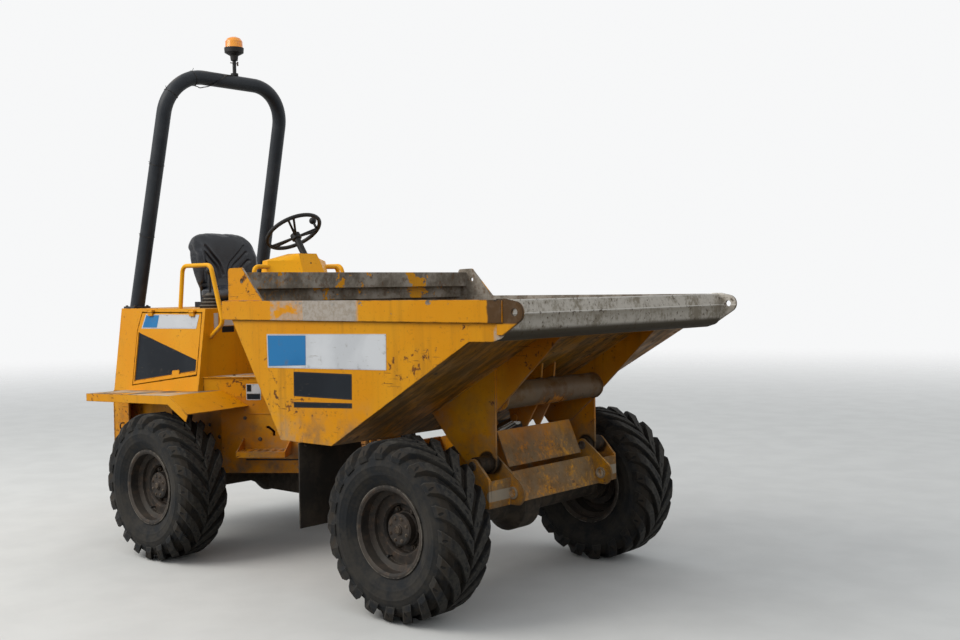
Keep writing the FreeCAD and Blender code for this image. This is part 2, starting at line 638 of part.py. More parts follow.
write("skip", skip())


# Skip legs: a plate and a lapped stiffener on each side, hung on the tipping pins

FLOOR_SLOPE = (SKIP_BEND_A[1] - SKIP_FRONT_LOW[1]) / (SKIP_BEND_A[0] - SKIP_FRONT_LOW[0])


def floorUnder(x):
    return SKIP_FRONT_LOW[1] + (x - SKIP_FRONT_LOW[0]) * FLOOR_SLOPE


def skipLegs():
    pinX, pinZ = TIP_PIVOT
    reach = LEG_FRONT - pinX
    roundEnd = ((pinX + reach * 0.71, pinZ - reach * 0.71), (pinX - 8, pinZ - reach + 0.7))
    leg = plateXZ((LEG_FRONT, floorUnder(LEG_FRONT)),
                  [((LEG_FRONT, pinZ),), roundEnd, ((1017, 677),), ((901, 784),), ((800, floorUnder(800)),)],
                  -LEG_OUT, -LEG_IN)
    stiffFront = (SKIP_BEND_B[0] - 13, SKIP_BEND_B[1] - 0.2)
    stiff = prismXZ([stiffFront, (1212, 937), (1055, 803), (960, 790), (901, 800), (840, floorUnder(840)),
                     SKIP_BEND_A], -LEG_IN, -STIFF_IN)
    boss = cylinder((pinX, -EAR_IN + 5, pinZ), (0, 1, 0), LEG_BOSS_R, EAR_IN - SIDE_OUT - 10)
    crossTube = cylinder((1205, -STIFF_IN, 1000), (0, 1, 0), CROSS_TUBE_R, 2 * STIFF_IN)
    eyeX, eyeZ = RAM_EYE
    rib = prismXZ([(1215, floorUnder(1215)), (1195, 960), (1112, 822), (1184, 655), (1166, 655), (1088, 822),
                   (1075, 842), (1010, 842), (1004, 880), (960, floorUnder(960))], -RIB_IN - PLATE, -RIB_IN)
    pinHead = cylinder((eyeX, -RIB_IN - 2 * PLATE, eyeZ), (0, 1, 0), 18, PLATE)
    frontPlate = prismXZ(offsetPolyline([(1110.5, 819.5), (1184.5, 652.5)], 8), -291, 291)
    half = [leg, stiff, boss, rib, pinHead]
    whole = fuse([crossTube, frontPlate] + half + [mirrorY(s) for s in half])
    bore = cylinder((pinX, -EAR_OUT, pinZ), (0, 1, 0), TIP_PIN_R + RUNNING_FIT, EAR_OUT - SIDE_IN)
    return whole.cut(bore).cut(mirrorY(bore))


write("skip_legs", skipLegs())


# Engine, gearbox and propeller shafts as plain blocks and bars

engine = box(ENGINE_X[0], -ENGINE_HALF, ENGINE_BOTTOM, ENGINE_X[1], ENGINE_HALF, BODY_TOP - 235)
gearbox = box(-820, -150, 320, -480, 150, ENGINE_BOTTOM)
bell = prismXZ([(ENGINE_X[1], ENGINE_BOTTOM + 20), (-820, 560), (-820, ENGINE_BOTTOM), (-780, ENGINE_BOTTOM),
                (-780, 760), (ENGINE_X[1], 900)], -140, 140)
write("engine", fuse([engine, gearbox, bell]))
SHAFT_Z = 385.0
SHAFT_R = 26.0
jointBall = Part.makeSphere(SHAFT_R + 4, V(0, 0, SHAFT_Z))
rearShaft = cylinder((-480, 0, SHAFT_Z), (1, 0, 0), SHAFT_R, 470)
write("propshaft_rear", fuse([rearShaft, jointBall]))
frontShaft = cylinder((37, 0, SHAFT_Z), (1, 0, 0.036), SHAFT_R, 806)
write("propshaft_front", frontShaft.cut(cylinder((FRONT_X, -60, AXLE_Z), (0, 1, 0), DIFF_R, 120)))
exhaustY = ENGINE_HALF + 110
exhaustX = REAR_END + 94
exhaustStart = ENGINE_X[0] + 180
exhaustPath = [(exhaustStart, ENGINE_HALF, 700), (exhaustStart, exhaustY, 700), (exhaustX, exhaustY, 700),
               (exhaustX, exhaustY, 432), (REAR_END, exhaustY, 432)]
write("exhaust", tube(exhaustPath, 24, 40))


# Body: a leaning shell over the engine with a door in each side and a grille in the back

def bodySection(inset, top, low):
    slope = (BODY_LOW_HALF - BODY_TOP_HALF) / (BODY_TOP - BODY_LOW)
    a = BODY_TOP_HALF - inset + (BODY_TOP - top) * slope
    b = BODY_TOP_HALF - inset + (BODY_TOP - low) * slope
    return [(-a, top), (-b, low), (b, low), (a, top)]


def bodyBlock(inset):
    return prismYZ(bodySection(inset, BODY_TOP, CH_TOP), BODY_REAR, BODY_FRONT)


def bodyLayer(outside, inside):
    # the leaning side walls between two depths below the outer face
    core = prismYZ(bodySection(inside, BODY_TOP + 1, CH_TOP - 1), BODY_REAR - 1, BODY_FRONT + 1)
    return bodyBlock(outside).cut(core)


def doorOutline(gap):
    # the door, grown by the gap on every side
    return [(DOOR_REAR - gap, DOOR_LOW_REAR - gap), (DOOR_FRONT + gap, DOOR_LOW_FRONT - gap),
            (DOOR_FRONT + gap, DOOR_TOP + gap), (DOOR_REAR + 36 - gap, DOOR_TOP + gap),
            (DOOR_REAR - gap, DOOR_FOLD)]


def hingeAt(x):
    # (lugs and pin on the body, leaf on the door, bore through the leaf), on the right side
    y, z = HINGE_LINE
    lugs = [cylinder((x - 1, -y, z), (1, 0, 0), HINGE_PIN_R, HINGE_LENGTH + 2)]
    hollow = prismYZ(bodySection(SKIN, BODY_TOP - SKIN, CH_TOP - 1), BODY_REAR + SKIN, BODY_FRONT - SKIN)
    for end in (x - 6.5, x + HINGE_LENGTH + 0.5):
        lugs.append(box(end, -y - 7, z - 1.5, end + 6, -y + 16, z + 9).cut(hollow))
    knuckle = cylinder((x, -y, z), (1, 0, 0), HINGE_PIN_R + 3, HINGE_LENGTH)
    leaf = box(x, -y - 3, z - 26, x + HINGE_LENGTH, -y + 7, z)
    foot = box(x, -y - 3, z - 26, x + HINGE_LENGTH, -y + 14, z - 9)
    bore = cylinder((x - 1, -y, z), (1, 0, 0), HINGE_PIN_R + RUNNING_FIT, HINGE_LENGTH + 2)
    return lugs, fuse([knuckle, leaf, foot]), bore


hinges = [hingeAt(x) for x in HINGE_X]


def body():
    hollow = prismYZ(bodySection(SKIN, BODY_TOP - SKIN, CH_TOP - 1), BODY_REAR + SKIN, BODY_FRONT - SKIN)
    doorHole = prismXZ(doorOutline(DOOR_GAP), -700, 700)
    grilleEnd = BODY_REAR + SKIN + 1
    grilleHole = box(BODY_REAR - 1, -GRILLE_HALF, GRILLE_Z[0], grilleEnd, GRILLE_HALF, GRILLE_Z[1])
    leverHole = cylinder((LEVER_X, LEVER_Y, BODY_TOP - 20), (0, 0, 1), 30, 40)
    postFoot = box(HOOP_FOOT_X - 48, -520, BODY_TOP - 60, HOOP_FOOT_X + 52, -420, BODY_TOP - SKIN)
    half = [postFoot]
    for lugs, leaf, bore in hinges:
        half += lugs
    shell = bodyBlock(0).cut(hollow).cut(doorHole).cut(grilleHole).cut(leverHole)
    return fuse([shell] + half + [mirrorY(s) for s in half])


def door():
    panel = prismXZ(doorOutline(0), -700, 0).common(bodyLayer(0, DOOR_THICK))
    recess = prismXZ([(DOOR_REAR + 12, DOOR_LOW_REAR + 20), (DOOR_FRONT - 12, DOOR_LOW_FRONT + 18),
                      (DOOR_FRONT - 12, DOOR_LOW_FRONT + 84), (DOOR_REAR + 12, DOOR_FOLD - 13)], -700, 0)
    latchX = DOOR_FRONT - 175
    latchZ = DOOR_LOW_FRONT - 20
    latch = plateXZ((latchX - 70, latchZ - 8),
                    [((latchX, latchZ),), ((latchX, latchZ + 24),),
                     ((latchX - 4, latchZ + 38), (latchX - 18, latchZ + 40)), ((latchX - 56, latchZ + 36),),
                     ((latchX - 68, latchZ + 32), (latchX - 70, latchZ + 20))], -700, 0)
    pressed = panel.cut(recess.common(bodyLayer(-1, DOOR_THICK - 7)))
    pieces = [pressed, latch.common(bodyLayer(0, DOOR_THICK))] + [leaf for lugs, leaf, bore in hinges]
    return fuse(pieces).cut(Part.makeCompound([bore for lugs, leaf, bore in hinges]))


def grille():
    plate = box(BODY_REAR, -GRILLE_HALF, GRILLE_Z[0], BODY_REAR + 8, GRILLE_HALF, GRILLE_Z[1])
    pitch = (GRILLE_Z[1] - GRILLE_Z[0] - 12) / GRILLE_SLOTS
    slots = []
    for i in range(GRILLE_SLOTS):
        z = GRILLE_Z[0] + 30 + pitch * i
        slots.append(box(BODY_REAR - 1, -GRILLE_HALF + 30, z, BODY_REAR + 9, GRILLE_HALF - 30, z + 22))
    return plate.cut(Part.makeCompound(slots))


write("body", body())
rightDoor = door()
write("side_door_right", rightDoor)
write("side_door_left", mirrorY(rightDoor))
write("rear_grille", grille())


# Platform for the driver's feet, with a skirt that carries the tapered walls up to it

WALL_SLOPE = (CH_HALF - TAPER_END[1]) / (TAPER_END[0] - TAPER_START)
PLATFORM_LIP = 8.0


def skirtPlan(inset):
    # half plan on the right, inset from the wall's outer face
    def wallY(x):
        return -CH_HALF + (x - TAPER_START) * WALL_SLOPE + inset * math.hypot(1, WALL_SLOPE)
    front = TAPER_END[0] - max(inset, 0)
    return [(BODY_FRONT, wallY(BODY_FRONT)), (front, wallY(front))]


platformPlan = skirtPlan(-PLATFORM_LIP) + [(PLATFORM_FRONT, skirtPlan(-PLATFORM_LIP)[1][1])]
platformTop = prismXY(mirrorPlan(platformPlan), PLATFORM_TOP - PLATFORM_THICK, PLATFORM_TOP)
skirt = prismXY(mirrorPlan(skirtPlan(0)), CH_TOP, PLATFORM_TOP - PLATFORM_THICK)
skirt = skirt.cut(prismXY(mirrorPlan(skirtPlan(5)), CH_TOP - 1, PLATFORM_TOP))
write("platform", fuse([platformTop, skirt]))


# Mudguards: a folded strip over each rear wheel, cut back to the chassis, body and skirt

GUARD_FOLD = (-748.0, 938.0)
GUARD_TIP = (-572.0, 848.0)
GUARD_SKEW = (56.0, 106.0)
GUARD_IN = 300.0


def guardSection(y, share):
    # the strip's section at y; its fold and tip lie further back towards the chassis
    line = [(GUARD_REAR, 908), (GUARD_FOLD[0] - GUARD_SKEW[0] * share, GUARD_FOLD[1]),
            (GUARD_TIP[0] - GUARD_SKEW[1] * share, GUARD_TIP[1])]
    points = [V(x, y, z) for x, z in offsetPolyline(line, 5)]
    return Part.makePolygon(points + [points[0]])


guardTop = Part.makeLoft([guardSection(-GUARD_OUT, 0), guardSection(-GUARD_IN, 1)], True, True)
foldX, foldZ = GUARD_FOLD
tipX, tipZ = GUARD_TIP
guardEdge = prismXZ([(GUARD_REAR, 868), (foldX - 10, foldZ - 44), (tipX - 16, tipZ - 38), (tipX + 2, tipZ - 3),
                     (foldX, foldZ + 2), (GUARD_REAR, 911)], -GUARD_OUT, -GUARD_OUT + 5)
chassisBlock = prismXY(mirrorPlan(chassisPlan(0)), 400, 1100)
skirtBlock = prismXY(mirrorPlan(skirtPlan(0)), 800, PLATFORM_TOP)
guard = fuse([guardTop, guardEdge]).cut(chassisBlock).cut(bodyBlock(0)).cut(skirtBlock)
write("mudguards", bothSides(guard))


# Steps: a slotted tread on two brackets, square to the tapered chassis side

def step():
    rear = STEP_MIDDLE - STEP_HALF
    front = STEP_MIDDLE + STEP_HALF
    tread = box(rear, 20, STEP_Z - 6, front, STEP_OUT, STEP_Z)
    edge = box(rear, STEP_OUT - 5, STEP_Z - 34, front, STEP_OUT, STEP_Z)
    bracket = prismYZ([(0, STEP_Z - 34), (0, STEP_Z + 60), (STEP_OUT - 5, STEP_Z),
                       (STEP_OUT - 5, STEP_Z - 34)], rear, rear + 8)
    grip = [box(rear + 24 + 44 * i, 40, STEP_Z - 7, rear + 48 + 44 * i, 122, STEP_Z + 1) for i in range(6)]
    farBracket = bracket.translated(V(front - rear - 8, 0, 0))
    return onWall(fuse([tread.cut(Part.makeCompound(grip)), edge, bracket, farBracket]))


write("steps", bothSides(step()))


# Dash: a hollow tapered column and cowl, lofted through level rings, with a grab handle each side.
# The columns: height, rear X, shoulder X, front X, half width at the rear and shoulder, half width in front

DASH_RINGS = [
    (PLATFORM_TOP, -620, -560, -450, 180, 90),
    (1400, -620, -560, -450, 180, 90),
    (COWL_LOW, -740, -685, -525, 235, 86),
    (1616, -740, -685, -538, 235, 83),
    (1690, -738, -692, -571, 224, 75),
    (COWL_TOP, -700, -655, -590, 62, 66)]


def dashBlock(inset):
    # the inset block is lower by the inset and starts just under the platform
    shift = {PLATFORM_TOP: -inset / 4, COWL_TOP: -inset}
    wires = []
    for height, rear, shoulder, front, wide, narrow in DASH_RINGS:
        z = height + shift.get(height, 0)
        half = [(rear + inset, wide - inset), (shoulder, wide - inset), (front - inset, narrow - inset / 2)]
        ring = [V(x, -y, z) for x, y in half] + [V(x, y, z) for x, y in half[::-1]]
        wires.append(Part.makePolygon(ring + [ring[0]]))
    return Part.makeLoft(wires, True, True)


def dash():
    block = dashBlock(0)
    handle = tube([(-690, -190, 1582), (-690, -324, 1582), (-690, -324, 1655), (-690, -190, 1655)],
                  HAND_RAIL_R, 30).cut(block)
    return fuse([block.cut(dashBlock(4)), handle, mirrorY(handle)])


COLUMN_DIR = V(-0.565, 0, 0.825).normalize()
COLUMN_R = 20.0
columnLow = STEERING_CENTRE - COLUMN_DIR * 250
write("dash", dash().cut(Part.makeCylinder(COLUMN_R, 300, columnLow, COLUMN_DIR)))
write("steering_column", Part.makeCylinder(COLUMN_R, 195, columnLow, COLUMN_DIR))


def steeringWheel():
    # dished wheel with three double spokes and a spinner knob; angles are in the wheel's plane from +Y
    across = V(0, 1, 0)
    along = COLUMN_DIR.cross(across)
    rim = Part.makeTorus(STEERING_R, 12, STEERING_CENTRE, COLUMN_DIR)
    hub = Part.makeCylinder(30, 34, STEERING_CENTRE - COLUMN_DIR * 55, COLUMN_DIR)
    hubTop = STEERING_CENTRE - COLUMN_DIR * 40
    spokes = []
    for degrees in (104, 116, 224, 236, 344, 356):
        a = math.radians(degrees)
        spoke = STEERING_CENTRE + (across * math.cos(a) + along * math.sin(a)) * STEERING_R - hubTop
        spokes.append(Part.makeCylinder(7, spoke.Length, hubTop, spoke))
    knobBase = STEERING_CENTRE + (across * 0.94 - along * 0.34) * (STEERING_R - 18)
    stem = Part.makeCylinder(8, 40, knobBase, COLUMN_DIR)
    ball = Part.makeSphere(22, knobBase + COLUMN_DIR * 50)
    return fuse([rim, hub, stem, ball] + spokes)


write("steering_wheel", steeringWheel())


# Seat, levers, pedals and handrails

pan = box(SEAT_X - 64, -SEAT_HALF + 20, BODY_TOP, SEAT_X + 336, SEAT_HALF - 20, BODY_TOP + 35)
prop = prismXZ([(SEAT_X - 94, BODY_TOP + 35), (SEAT_X - 34, BODY_TOP + 35), (SEAT_X - 104, BODY_TOP + 345),
                (SEAT_X - 118, BODY_TOP + 341)], -150, 150)
write("seat_pan", fuse([pan, prop]))
cushion = box(SEAT_X, -SEAT_HALF, BODY_TOP + 35.3, SEAT_X + 370, SEAT_HALF, BODY_TOP + 135)
write("seat_cushion", cushion.makeFillet(30, [e for e in cushion.Edges if e.BoundBox.ZMin > BODY_TOP + 85]))


def seatBack():
    # leaning pad, trimmed to a shield with round shoulders
    side = plateXZ((SEAT_X - 32, BODY_TOP + 55),
                   [((SEAT_X - 9, BODY_TOP + 75),), ((SEAT_X - 4, BODY_TOP + 145),),
                    ((SEAT_X - 26, BODY_TOP + 310), (SEAT_X - 56, BODY_TOP + 453)),
                    ((SEAT_X - 84, BODY_TOP + 475), (SEAT_X - 122, BODY_TOP + 465)),
                    ((SEAT_X - 127.5, BODY_TOP + 347),), ((SEAT_X - 103.6, BODY_TOP + 347),)], -300, 300)
    shield = outlineFace((-160, BODY_TOP + 50),
                         [((-212, BODY_TOP + 200), (-228, BODY_TOP + 340)),
                          ((-202, BODY_TOP + 436), (-110, BODY_TOP + 472)),
                          ((0, BODY_TOP + 480), (110, BODY_TOP + 472)),
                          ((202, BODY_TOP + 436), (228, BODY_TOP + 340)),
                          ((212, BODY_TOP + 200), (160, BODY_TOP + 50)),
                          ((-160, BODY_TOP + 50),)], lambda y, z: V(SEAT_X - 200, y, z))
    return side.common(shield.extrude(V(400, 0, 0)))


write("seat_back", seatBack())
bootRings = [(0, 62), (14, 66), (20, 54), (34, 58), (40, 46), (54, 49), (60, 36), (76, 38), (92, 16)]
bootProfile = [V(LEVER_X + r, LEVER_Y, BODY_TOP + z) for z, r in bootRings]
bootFace = polygonFace([V(LEVER_X, LEVER_Y, BODY_TOP)] + bootProfile + [V(LEVER_X, LEVER_Y, BODY_TOP + 92)])
write("gear_boot", bootFace.revolve(V(LEVER_X, LEVER_Y, 0), V(0, 0, 1), 360))
leverShape = cylinder((LEVER_X, LEVER_Y, BODY_TOP + 92), (0, 0, 1), 8, 130)
write("gear_lever", fuse([leverShape, Part.makeSphere(24, V(LEVER_X, LEVER_Y, BODY_TOP + 225))]))
pedalPad = prismXZ([(-770, 1080), (-720, 1130), (-726, 1136), (-776, 1086)], -180, -100)
pedal = fuse([box(-756, -150, PLATFORM_TOP, -746, -130, 1100), pedalPad])
write("pedals", bothSides(pedal))
railPath = [(BODY_FRONT - 300, -HAND_RAIL_Y, BODY_TOP), (BODY_FRONT - 268, -HAND_RAIL_Y, 1668),
            (BODY_FRONT + 10, -HAND_RAIL_Y, 1668), (BODY_FRONT + 120, -HAND_RAIL_Y, 1330),
            (BODY_FRONT - 3, -HAND_RAIL_Y, 1250)]
write("handrails", bothSides(tube(railPath, HAND_RAIL_R, 45).cut(bodyBlock(0))))


# Roll hoop, leaning forwards, with the beacon on its top

def hoopPoint(y, z):
    return (HOOP_FOOT_X + HOOP_LEAN * (z - BODY_TOP), y, z)


hoopPath = [hoopPoint(-HOOP_FOOT_HALF, BODY_TOP + 8), hoopPoint(-HOOP_TOP_HALF, HOOP_TOP),
            hoopPoint(HOOP_TOP_HALF, HOOP_TOP), hoopPoint(HOOP_FOOT_HALF, BODY_TOP + 8)]
aboveFeet = box(-2500, -700, BODY_TOP + 12, -1000, 700, HOOP_TOP + 100)
hoop = tube(hoopPath, HOOP_R, HOOP_BEND).common(aboveFeet)
footPlate = box(HOOP_FOOT_X - 60, -530, BODY_TOP, HOOP_FOOT_X + 60, -414, BODY_TOP + 12)
write("roll_hoop", fuse([hoop, footPlate, mirrorY(footPlate)]))

beaconX, beaconY, beaconZ = hoopPoint(BEACON_Y, HOOP_TOP)
# stem and cup turned about one upright line: (height over the hoop's axis, radius)
STEM_RINGS = [(HOOP_R - 1.5, 24), (58, 24), (58, 12), (140, 12), (140, 22), (170, 26), (190, BEACON_R + 4),
              (220, BEACON_R + 6)]
LENS_RINGS = [(220, BEACON_R), (262, BEACON_R - 2), (280, BEACON_R - 14), (289, BEACON_R - 34), (292, 0)]


def turnedUpright(rings):
    low = V(beaconX, beaconY, beaconZ + rings[0][0])
    top = V(beaconX, beaconY, beaconZ + rings[-1][0])
    points = [V(beaconX + r, beaconY, beaconZ + z) for z, r in rings if r > 0]
    return polygonFace([low] + points + [top]).revolve(low, V(0, 0, 1), 360)


topTube = cylinder((beaconX, beaconY - 100, beaconZ), (0, 1, 0), HOOP_R, 200)
write("beacon_stem", turnedUpright(STEM_RINGS).cut(topTube))
write("beacon_lens", turnedUpright(LENS_RINGS))
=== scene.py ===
import math

import bmesh
import bpy
import numpy as np
from mathutils import Matrix, Vector


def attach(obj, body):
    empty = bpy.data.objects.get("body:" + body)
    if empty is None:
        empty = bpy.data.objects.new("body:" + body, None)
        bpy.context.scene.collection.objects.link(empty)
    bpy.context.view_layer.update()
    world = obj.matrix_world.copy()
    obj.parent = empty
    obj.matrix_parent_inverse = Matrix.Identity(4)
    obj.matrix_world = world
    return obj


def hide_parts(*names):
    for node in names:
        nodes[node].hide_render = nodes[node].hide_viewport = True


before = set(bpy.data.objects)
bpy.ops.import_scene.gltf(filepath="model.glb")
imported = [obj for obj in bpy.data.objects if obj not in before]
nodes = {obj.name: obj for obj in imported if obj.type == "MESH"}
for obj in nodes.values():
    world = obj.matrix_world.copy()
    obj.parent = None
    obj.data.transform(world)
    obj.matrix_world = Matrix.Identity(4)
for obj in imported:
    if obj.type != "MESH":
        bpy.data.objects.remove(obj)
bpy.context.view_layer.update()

print("stage: frame loaded,", len(nodes), "nodes")


def placed(name, data):
    # a new object in the scene, at the origin
    thing = bpy.data.objects.new(name, data)
    bpy.context.scene.collection.objects.link(thing)
    return thing


# Camera: the photograph's viewpoint, heading, tilt and focal length

view = {"place": (4.6261, -4.4318, 1.5170), "heading": 41.055, "down": 1.6715, "roll": -0.8445,
        "focal": 42.367, "sensor": 36, "near": 0.05, "far": 200}


def addCamera(look):
    # looks along the heading, tilted down, then rolled about its line of sight
    heading, down, roll = (math.radians(look[k]) for k in ("heading", "down", "roll"))
    ahead = Vector((-math.sin(heading) * math.cos(down), math.cos(heading) * math.cos(down), -math.sin(down)))
    right = Vector((math.cos(heading), math.sin(heading), 0))
    turnedRight = math.cos(roll) * right + math.sin(roll) * right.cross(ahead)
    columns = (turnedRight, turnedRight.cross(ahead), -ahead)
    matrix = Matrix([[c[i] for c in columns] for i in range(3)]).to_4x4()
    matrix.translation = look["place"]
    data = bpy.data.cameras.new("camera")
    data.lens = look["focal"]
    data.sensor_width = look["sensor"]
    data.clip_start = look["near"]
    data.clip_end = look["far"]
    camera = placed("camera", data)
    camera.matrix_world = matrix
    bpy.context.scene.camera = camera


addCamera(view)
bpy.context.scene.view_settings.view_transform = "Standard"


# Node trees: a short way to write them. Most methods add nodes and give back an output

class NodeTree:
    def __init__(self, tree):
        self.tree = tree
        tree.nodes.clear()

    def add(self, kind, inputs=None, out=0, **options):
        # one node with its options and inputs; gives back the output asked for
        node = self.tree.nodes.new("ShaderNode" + kind)
        for key, value in options.items():
            setattr(node, key, value)
        for key, value in (inputs or {}).items():
            socket = node.inputs[key]
            if isinstance(value, bpy.types.NodeSocket):
                self.tree.links.new(value, socket)
            else:
                socket.default_value = (*value, 1) if socket.type == "RGBA" else value
        return node.outputs[out] if len(node.outputs) else None

    def axes(self, vector):
        node = self.tree.nodes.new("ShaderNodeSeparateXYZ")
        self.tree.links.new(vector, node.inputs[0])
        return node.outputs[0], node.outputs[1], node.outputs[2]

    def maths(self, operation, a, b=0.5):
        return self.add("Math", {0: a, 1: b}, operation=operation)

    def chained(self, operation, values):
        result = values[0]
        for value in values[1:]:
            result = self.maths(operation, result, value)
        return result

    def plus(self, *values):
        return self.chained("ADD", values)

    def less(self, a, b):
        return self.maths("SUBTRACT", a, b)

    def times(self, *values):
        return self.chained("MULTIPLY", values)

    def most(self, *values):
        return self.chained("MAXIMUM", values)

    def mixed(self, factor, a, b):
        return self.add("Mix", {0: factor, 6: a, 7: b}, out=2, data_type="RGBA")

    def seenRays(self):
        # 1 for rays from the camera, in reflections and through clear parts
        return self.most(*(self.add("LightPath", out=kind)
                           for kind in ("Is Camera Ray", "Is Glossy Ray", "Is Transmission Ray")))


class Shader(NodeTree):
    def __init__(self, name):
        self.material = bpy.data.materials.new(name)
        self.material.use_nodes = True
        super().__init__(self.material.node_tree)
        self.place = self.add("TexCoord", out="Object")
        self.facing = self.add("TexCoord", out="Normal")

    def moved(self, vector, centre=(0, 0, 0), turn=(0, 0, 0), scale=(1, 1, 1)):
        shifted = self.add("VectorMath", {0: vector, 1: centre}, operation="SUBTRACT")
        return self.add("Mapping", {"Vector": shifted, "Rotation": turn, "Scale": scale})

    def noise(self, vector, scale, detail=4.0, rough=0.55, warp=0.0):
        return self.add("TexNoise", {"Vector": vector, "Scale": scale, "Detail": detail, "Roughness": rough,
                                     "Distortion": warp}, out="Fac")

    def band(self, value, low, high, top=1.0):
        # smooth step: 0 at low, top at high
        return self.add("MapRange", {"Value": value, "From Min": low, "From Max": high, "To Max": top},
                        interpolation_type="SMOOTHSTEP")

    def window(self, value, low, lowFull, highFull, high):
        # 1 between the two full values, 0 outside low and high
        return self.times(self.band(value, low, lowFull), self.band(value, high, highFull))

    def between(self, factor, a, b):
        # number from a to b as the factor goes from 0 to 1
        return self.add("MapRange", {"Value": factor, "To Min": a, "To Max": b})

    def near(self, centre, radius):
        # 1 at the centre, falling to 0 at the radius
        gap = self.add("VectorMath", {0: self.place, 1: centre}, out="Value", operation="DISTANCE")
        return self.band(gap, radius, radius * 0.2)

    def fromLine(self, vector, centre=(0, 0)):
        # distance from the line along Y through the centre (x, z)
        x, y, z = self.axes(vector)
        flat = self.add("CombineXYZ", {0: self.less(x, centre[0]), 2: self.less(z, centre[1])})
        return self.add("VectorMath", {0: flat}, out="Value", operation="LENGTH")

    def edges(self, radius):
        # 1 where the surface bends sharply within the radius
        rounded = self.add("Bevel", {"Radius": radius}, samples=4)
        flat = self.add("NewGeometry", out="True Normal")
        level = self.add("VectorMath", {0: rounded, 1: flat}, out="Value", operation="DOT_PRODUCT")
        return self.band(level, 0.995, 0.9)

    def finish(self, colour, rough, height, depth, bevel=0.0, **sockets):
        # bump of the given depth over edges rounded by the bevel; other sockets take fixed values
        bump = {"Height": height, "Distance": depth, "Strength": 1.0}
        if bevel:
            bump["Normal"] = self.add("Bevel", {"Radius": bevel}, samples=4)
        inputs = {"Base Color": colour, "Roughness": rough, "Normal": self.add("Bump", bump)}
        for key, value in sockets.items():
            inputs[key.replace("_", " ")] = value
        return self.close(self.add("BsdfPrincipled", inputs))

    def close(self, surface):
        self.add("OutputMaterial", {"Surface": surface})
        return self.material


# Paint: patches of fading, rain streaks, scratches, chips down to rust, dust on top and splashes below

soil = (0.15, 0.115, 0.08)
dryDust = (0.30, 0.25, 0.19)
paint = {
    "colour": (0.72, 0.285, 0.002), "faded": (0.74, 0.325, 0.008), "grime": (0.22, 0.09, 0.012),
    "streak": 0.3, "chips": 0.715, "edgeWear": 0.55, "dust": 0.5, "splash": (0.75, 0.25), "rough": 0.42,
    "spots": [], "dustColour": dryDust, "edgeColour": None, "mud": None, "greaseAndShadeMarks": False,
    "scratches": 0.8, "cover": (0.36, 0.62), "rustDark": (0.035, 0.018, 0.011), "rustWarm": (0.16, 0.055, 0.018),
    "halo": (0.30, 0.11, 0.02), "dirtRough": 0.85, "shine": 0.16, "bump": 0.0012, "bevel": 0.003}
paintScales = {"patches": 1.7, "streaks": (13, 13, 1.1), "freckles": 70, "wear": 2.6, "chips": 30, "edges": 16,
               "scratches": (4, 4, 70), "scratchTurn": (0.5, 0.35, 0.2), "rust": 34, "speckle": 9, "tone": 4,
               "dents": 3.1}


def paintLayers(s, look):
    # gives (colour, bare metal amount, dirt amount, height) of weathered paint
    scale = paintScales
    z = s.axes(s.place)[2]
    nz = s.axes(s.facing)[2]
    patches = s.noise(s.place, scale["patches"], 5)
    colour = s.mixed(s.band(patches, 0.38, 0.66), look["colour"], look["faded"])
    streaks = s.noise(s.moved(s.place, scale=scale["streaks"]), 1.0, 6, 0.6)
    streaks = s.times(s.band(streaks, 0.50, 0.78), s.band(patches, 0.36, 0.56), look["streak"])
    freckles = s.band(s.noise(s.place, scale["freckles"], 3), 0.60, 0.72, 0.25)
    for stain in (streaks, freckles):
        colour = s.mixed(stain, colour, look["grime"])
    wear = s.noise(s.place, scale["wear"], 4)
    for centre, radius, gain in look["spots"]:
        wear = s.plus(wear, s.times(s.near(centre, radius), gain))
    chipField = s.plus(s.times(s.noise(s.place, scale["chips"], 6, 0.62, 0.4), 0.72), s.times(wear, 0.42))
    chips = s.band(chipField, look["chips"], look["chips"] + 0.025)
    scratches = s.noise(s.moved(s.place, turn=scale["scratchTurn"], scale=scale["scratches"]), 1.6, 3)
    scratches = s.times(s.band(scratches, 0.66, 0.70), s.band(wear, 0.52, 0.66), look["scratches"])
    edgeField = s.noise(s.place, scale["edges"], 5)
    edgeBare = s.times(s.edges(0.008), s.band(edgeField, 0.62 - look["edgeWear"] * 0.3, 0.66))
    bare = s.most(chips, edgeBare, scratches)
    rust = s.mixed(s.band(s.noise(s.place, scale["rust"], 4), 0.42, 0.62), look["rustDark"], look["rustWarm"])
    if look["edgeColour"]:
        rust = s.mixed(s.times(edgeBare, 0.8), rust, look["edgeColour"])
    colour = s.mixed(bare, colour, rust)
    halo = s.band(chipField, look["chips"] - 0.05, look["chips"] + 0.01)
    colour = s.mixed(s.times(halo, 0.35), colour, look["halo"])
    speckle = s.noise(s.place, scale["speckle"], 7, 0.65)
    top = s.times(s.band(nz, 0.88, 0.97), s.band(speckle, *look["cover"]), look["dust"])
    low = s.times(s.band(z, *look["splash"]), s.band(speckle, 0.38, 0.70), 0.9)
    under = s.times(s.band(nz, -0.2, -0.8), s.band(speckle, 0.30, 0.62), 0.6)
    dirt = s.most(top, low, under)
    tone = s.mixed(s.band(s.noise(s.place, scale["tone"], 3), 0.4, 0.6), soil, look["dustColour"])
    colour = s.mixed(dirt, colour, tone)
    if look["mud"]:
        cake, grit = cakedDirt(s, speckle, *look["mud"])
        colour = s.mixed(cake, colour, grit)
        dirt = s.most(dirt, cake)
    if look["greaseAndShadeMarks"]:
        for mask, tone in greaseAndShadeParts(s, speckle):
            colour = s.mixed(mask, colour, tone)
    dents = s.times(s.noise(s.place, scale["dents"], 2), 3.0)
    height = s.plus(dents, s.times(s.plus(s.times(speckle, dirt), s.times(bare, -0.5)), 0.6))
    return colour, bare, dirt, height


# Caked dirt on the nose and the cross plate

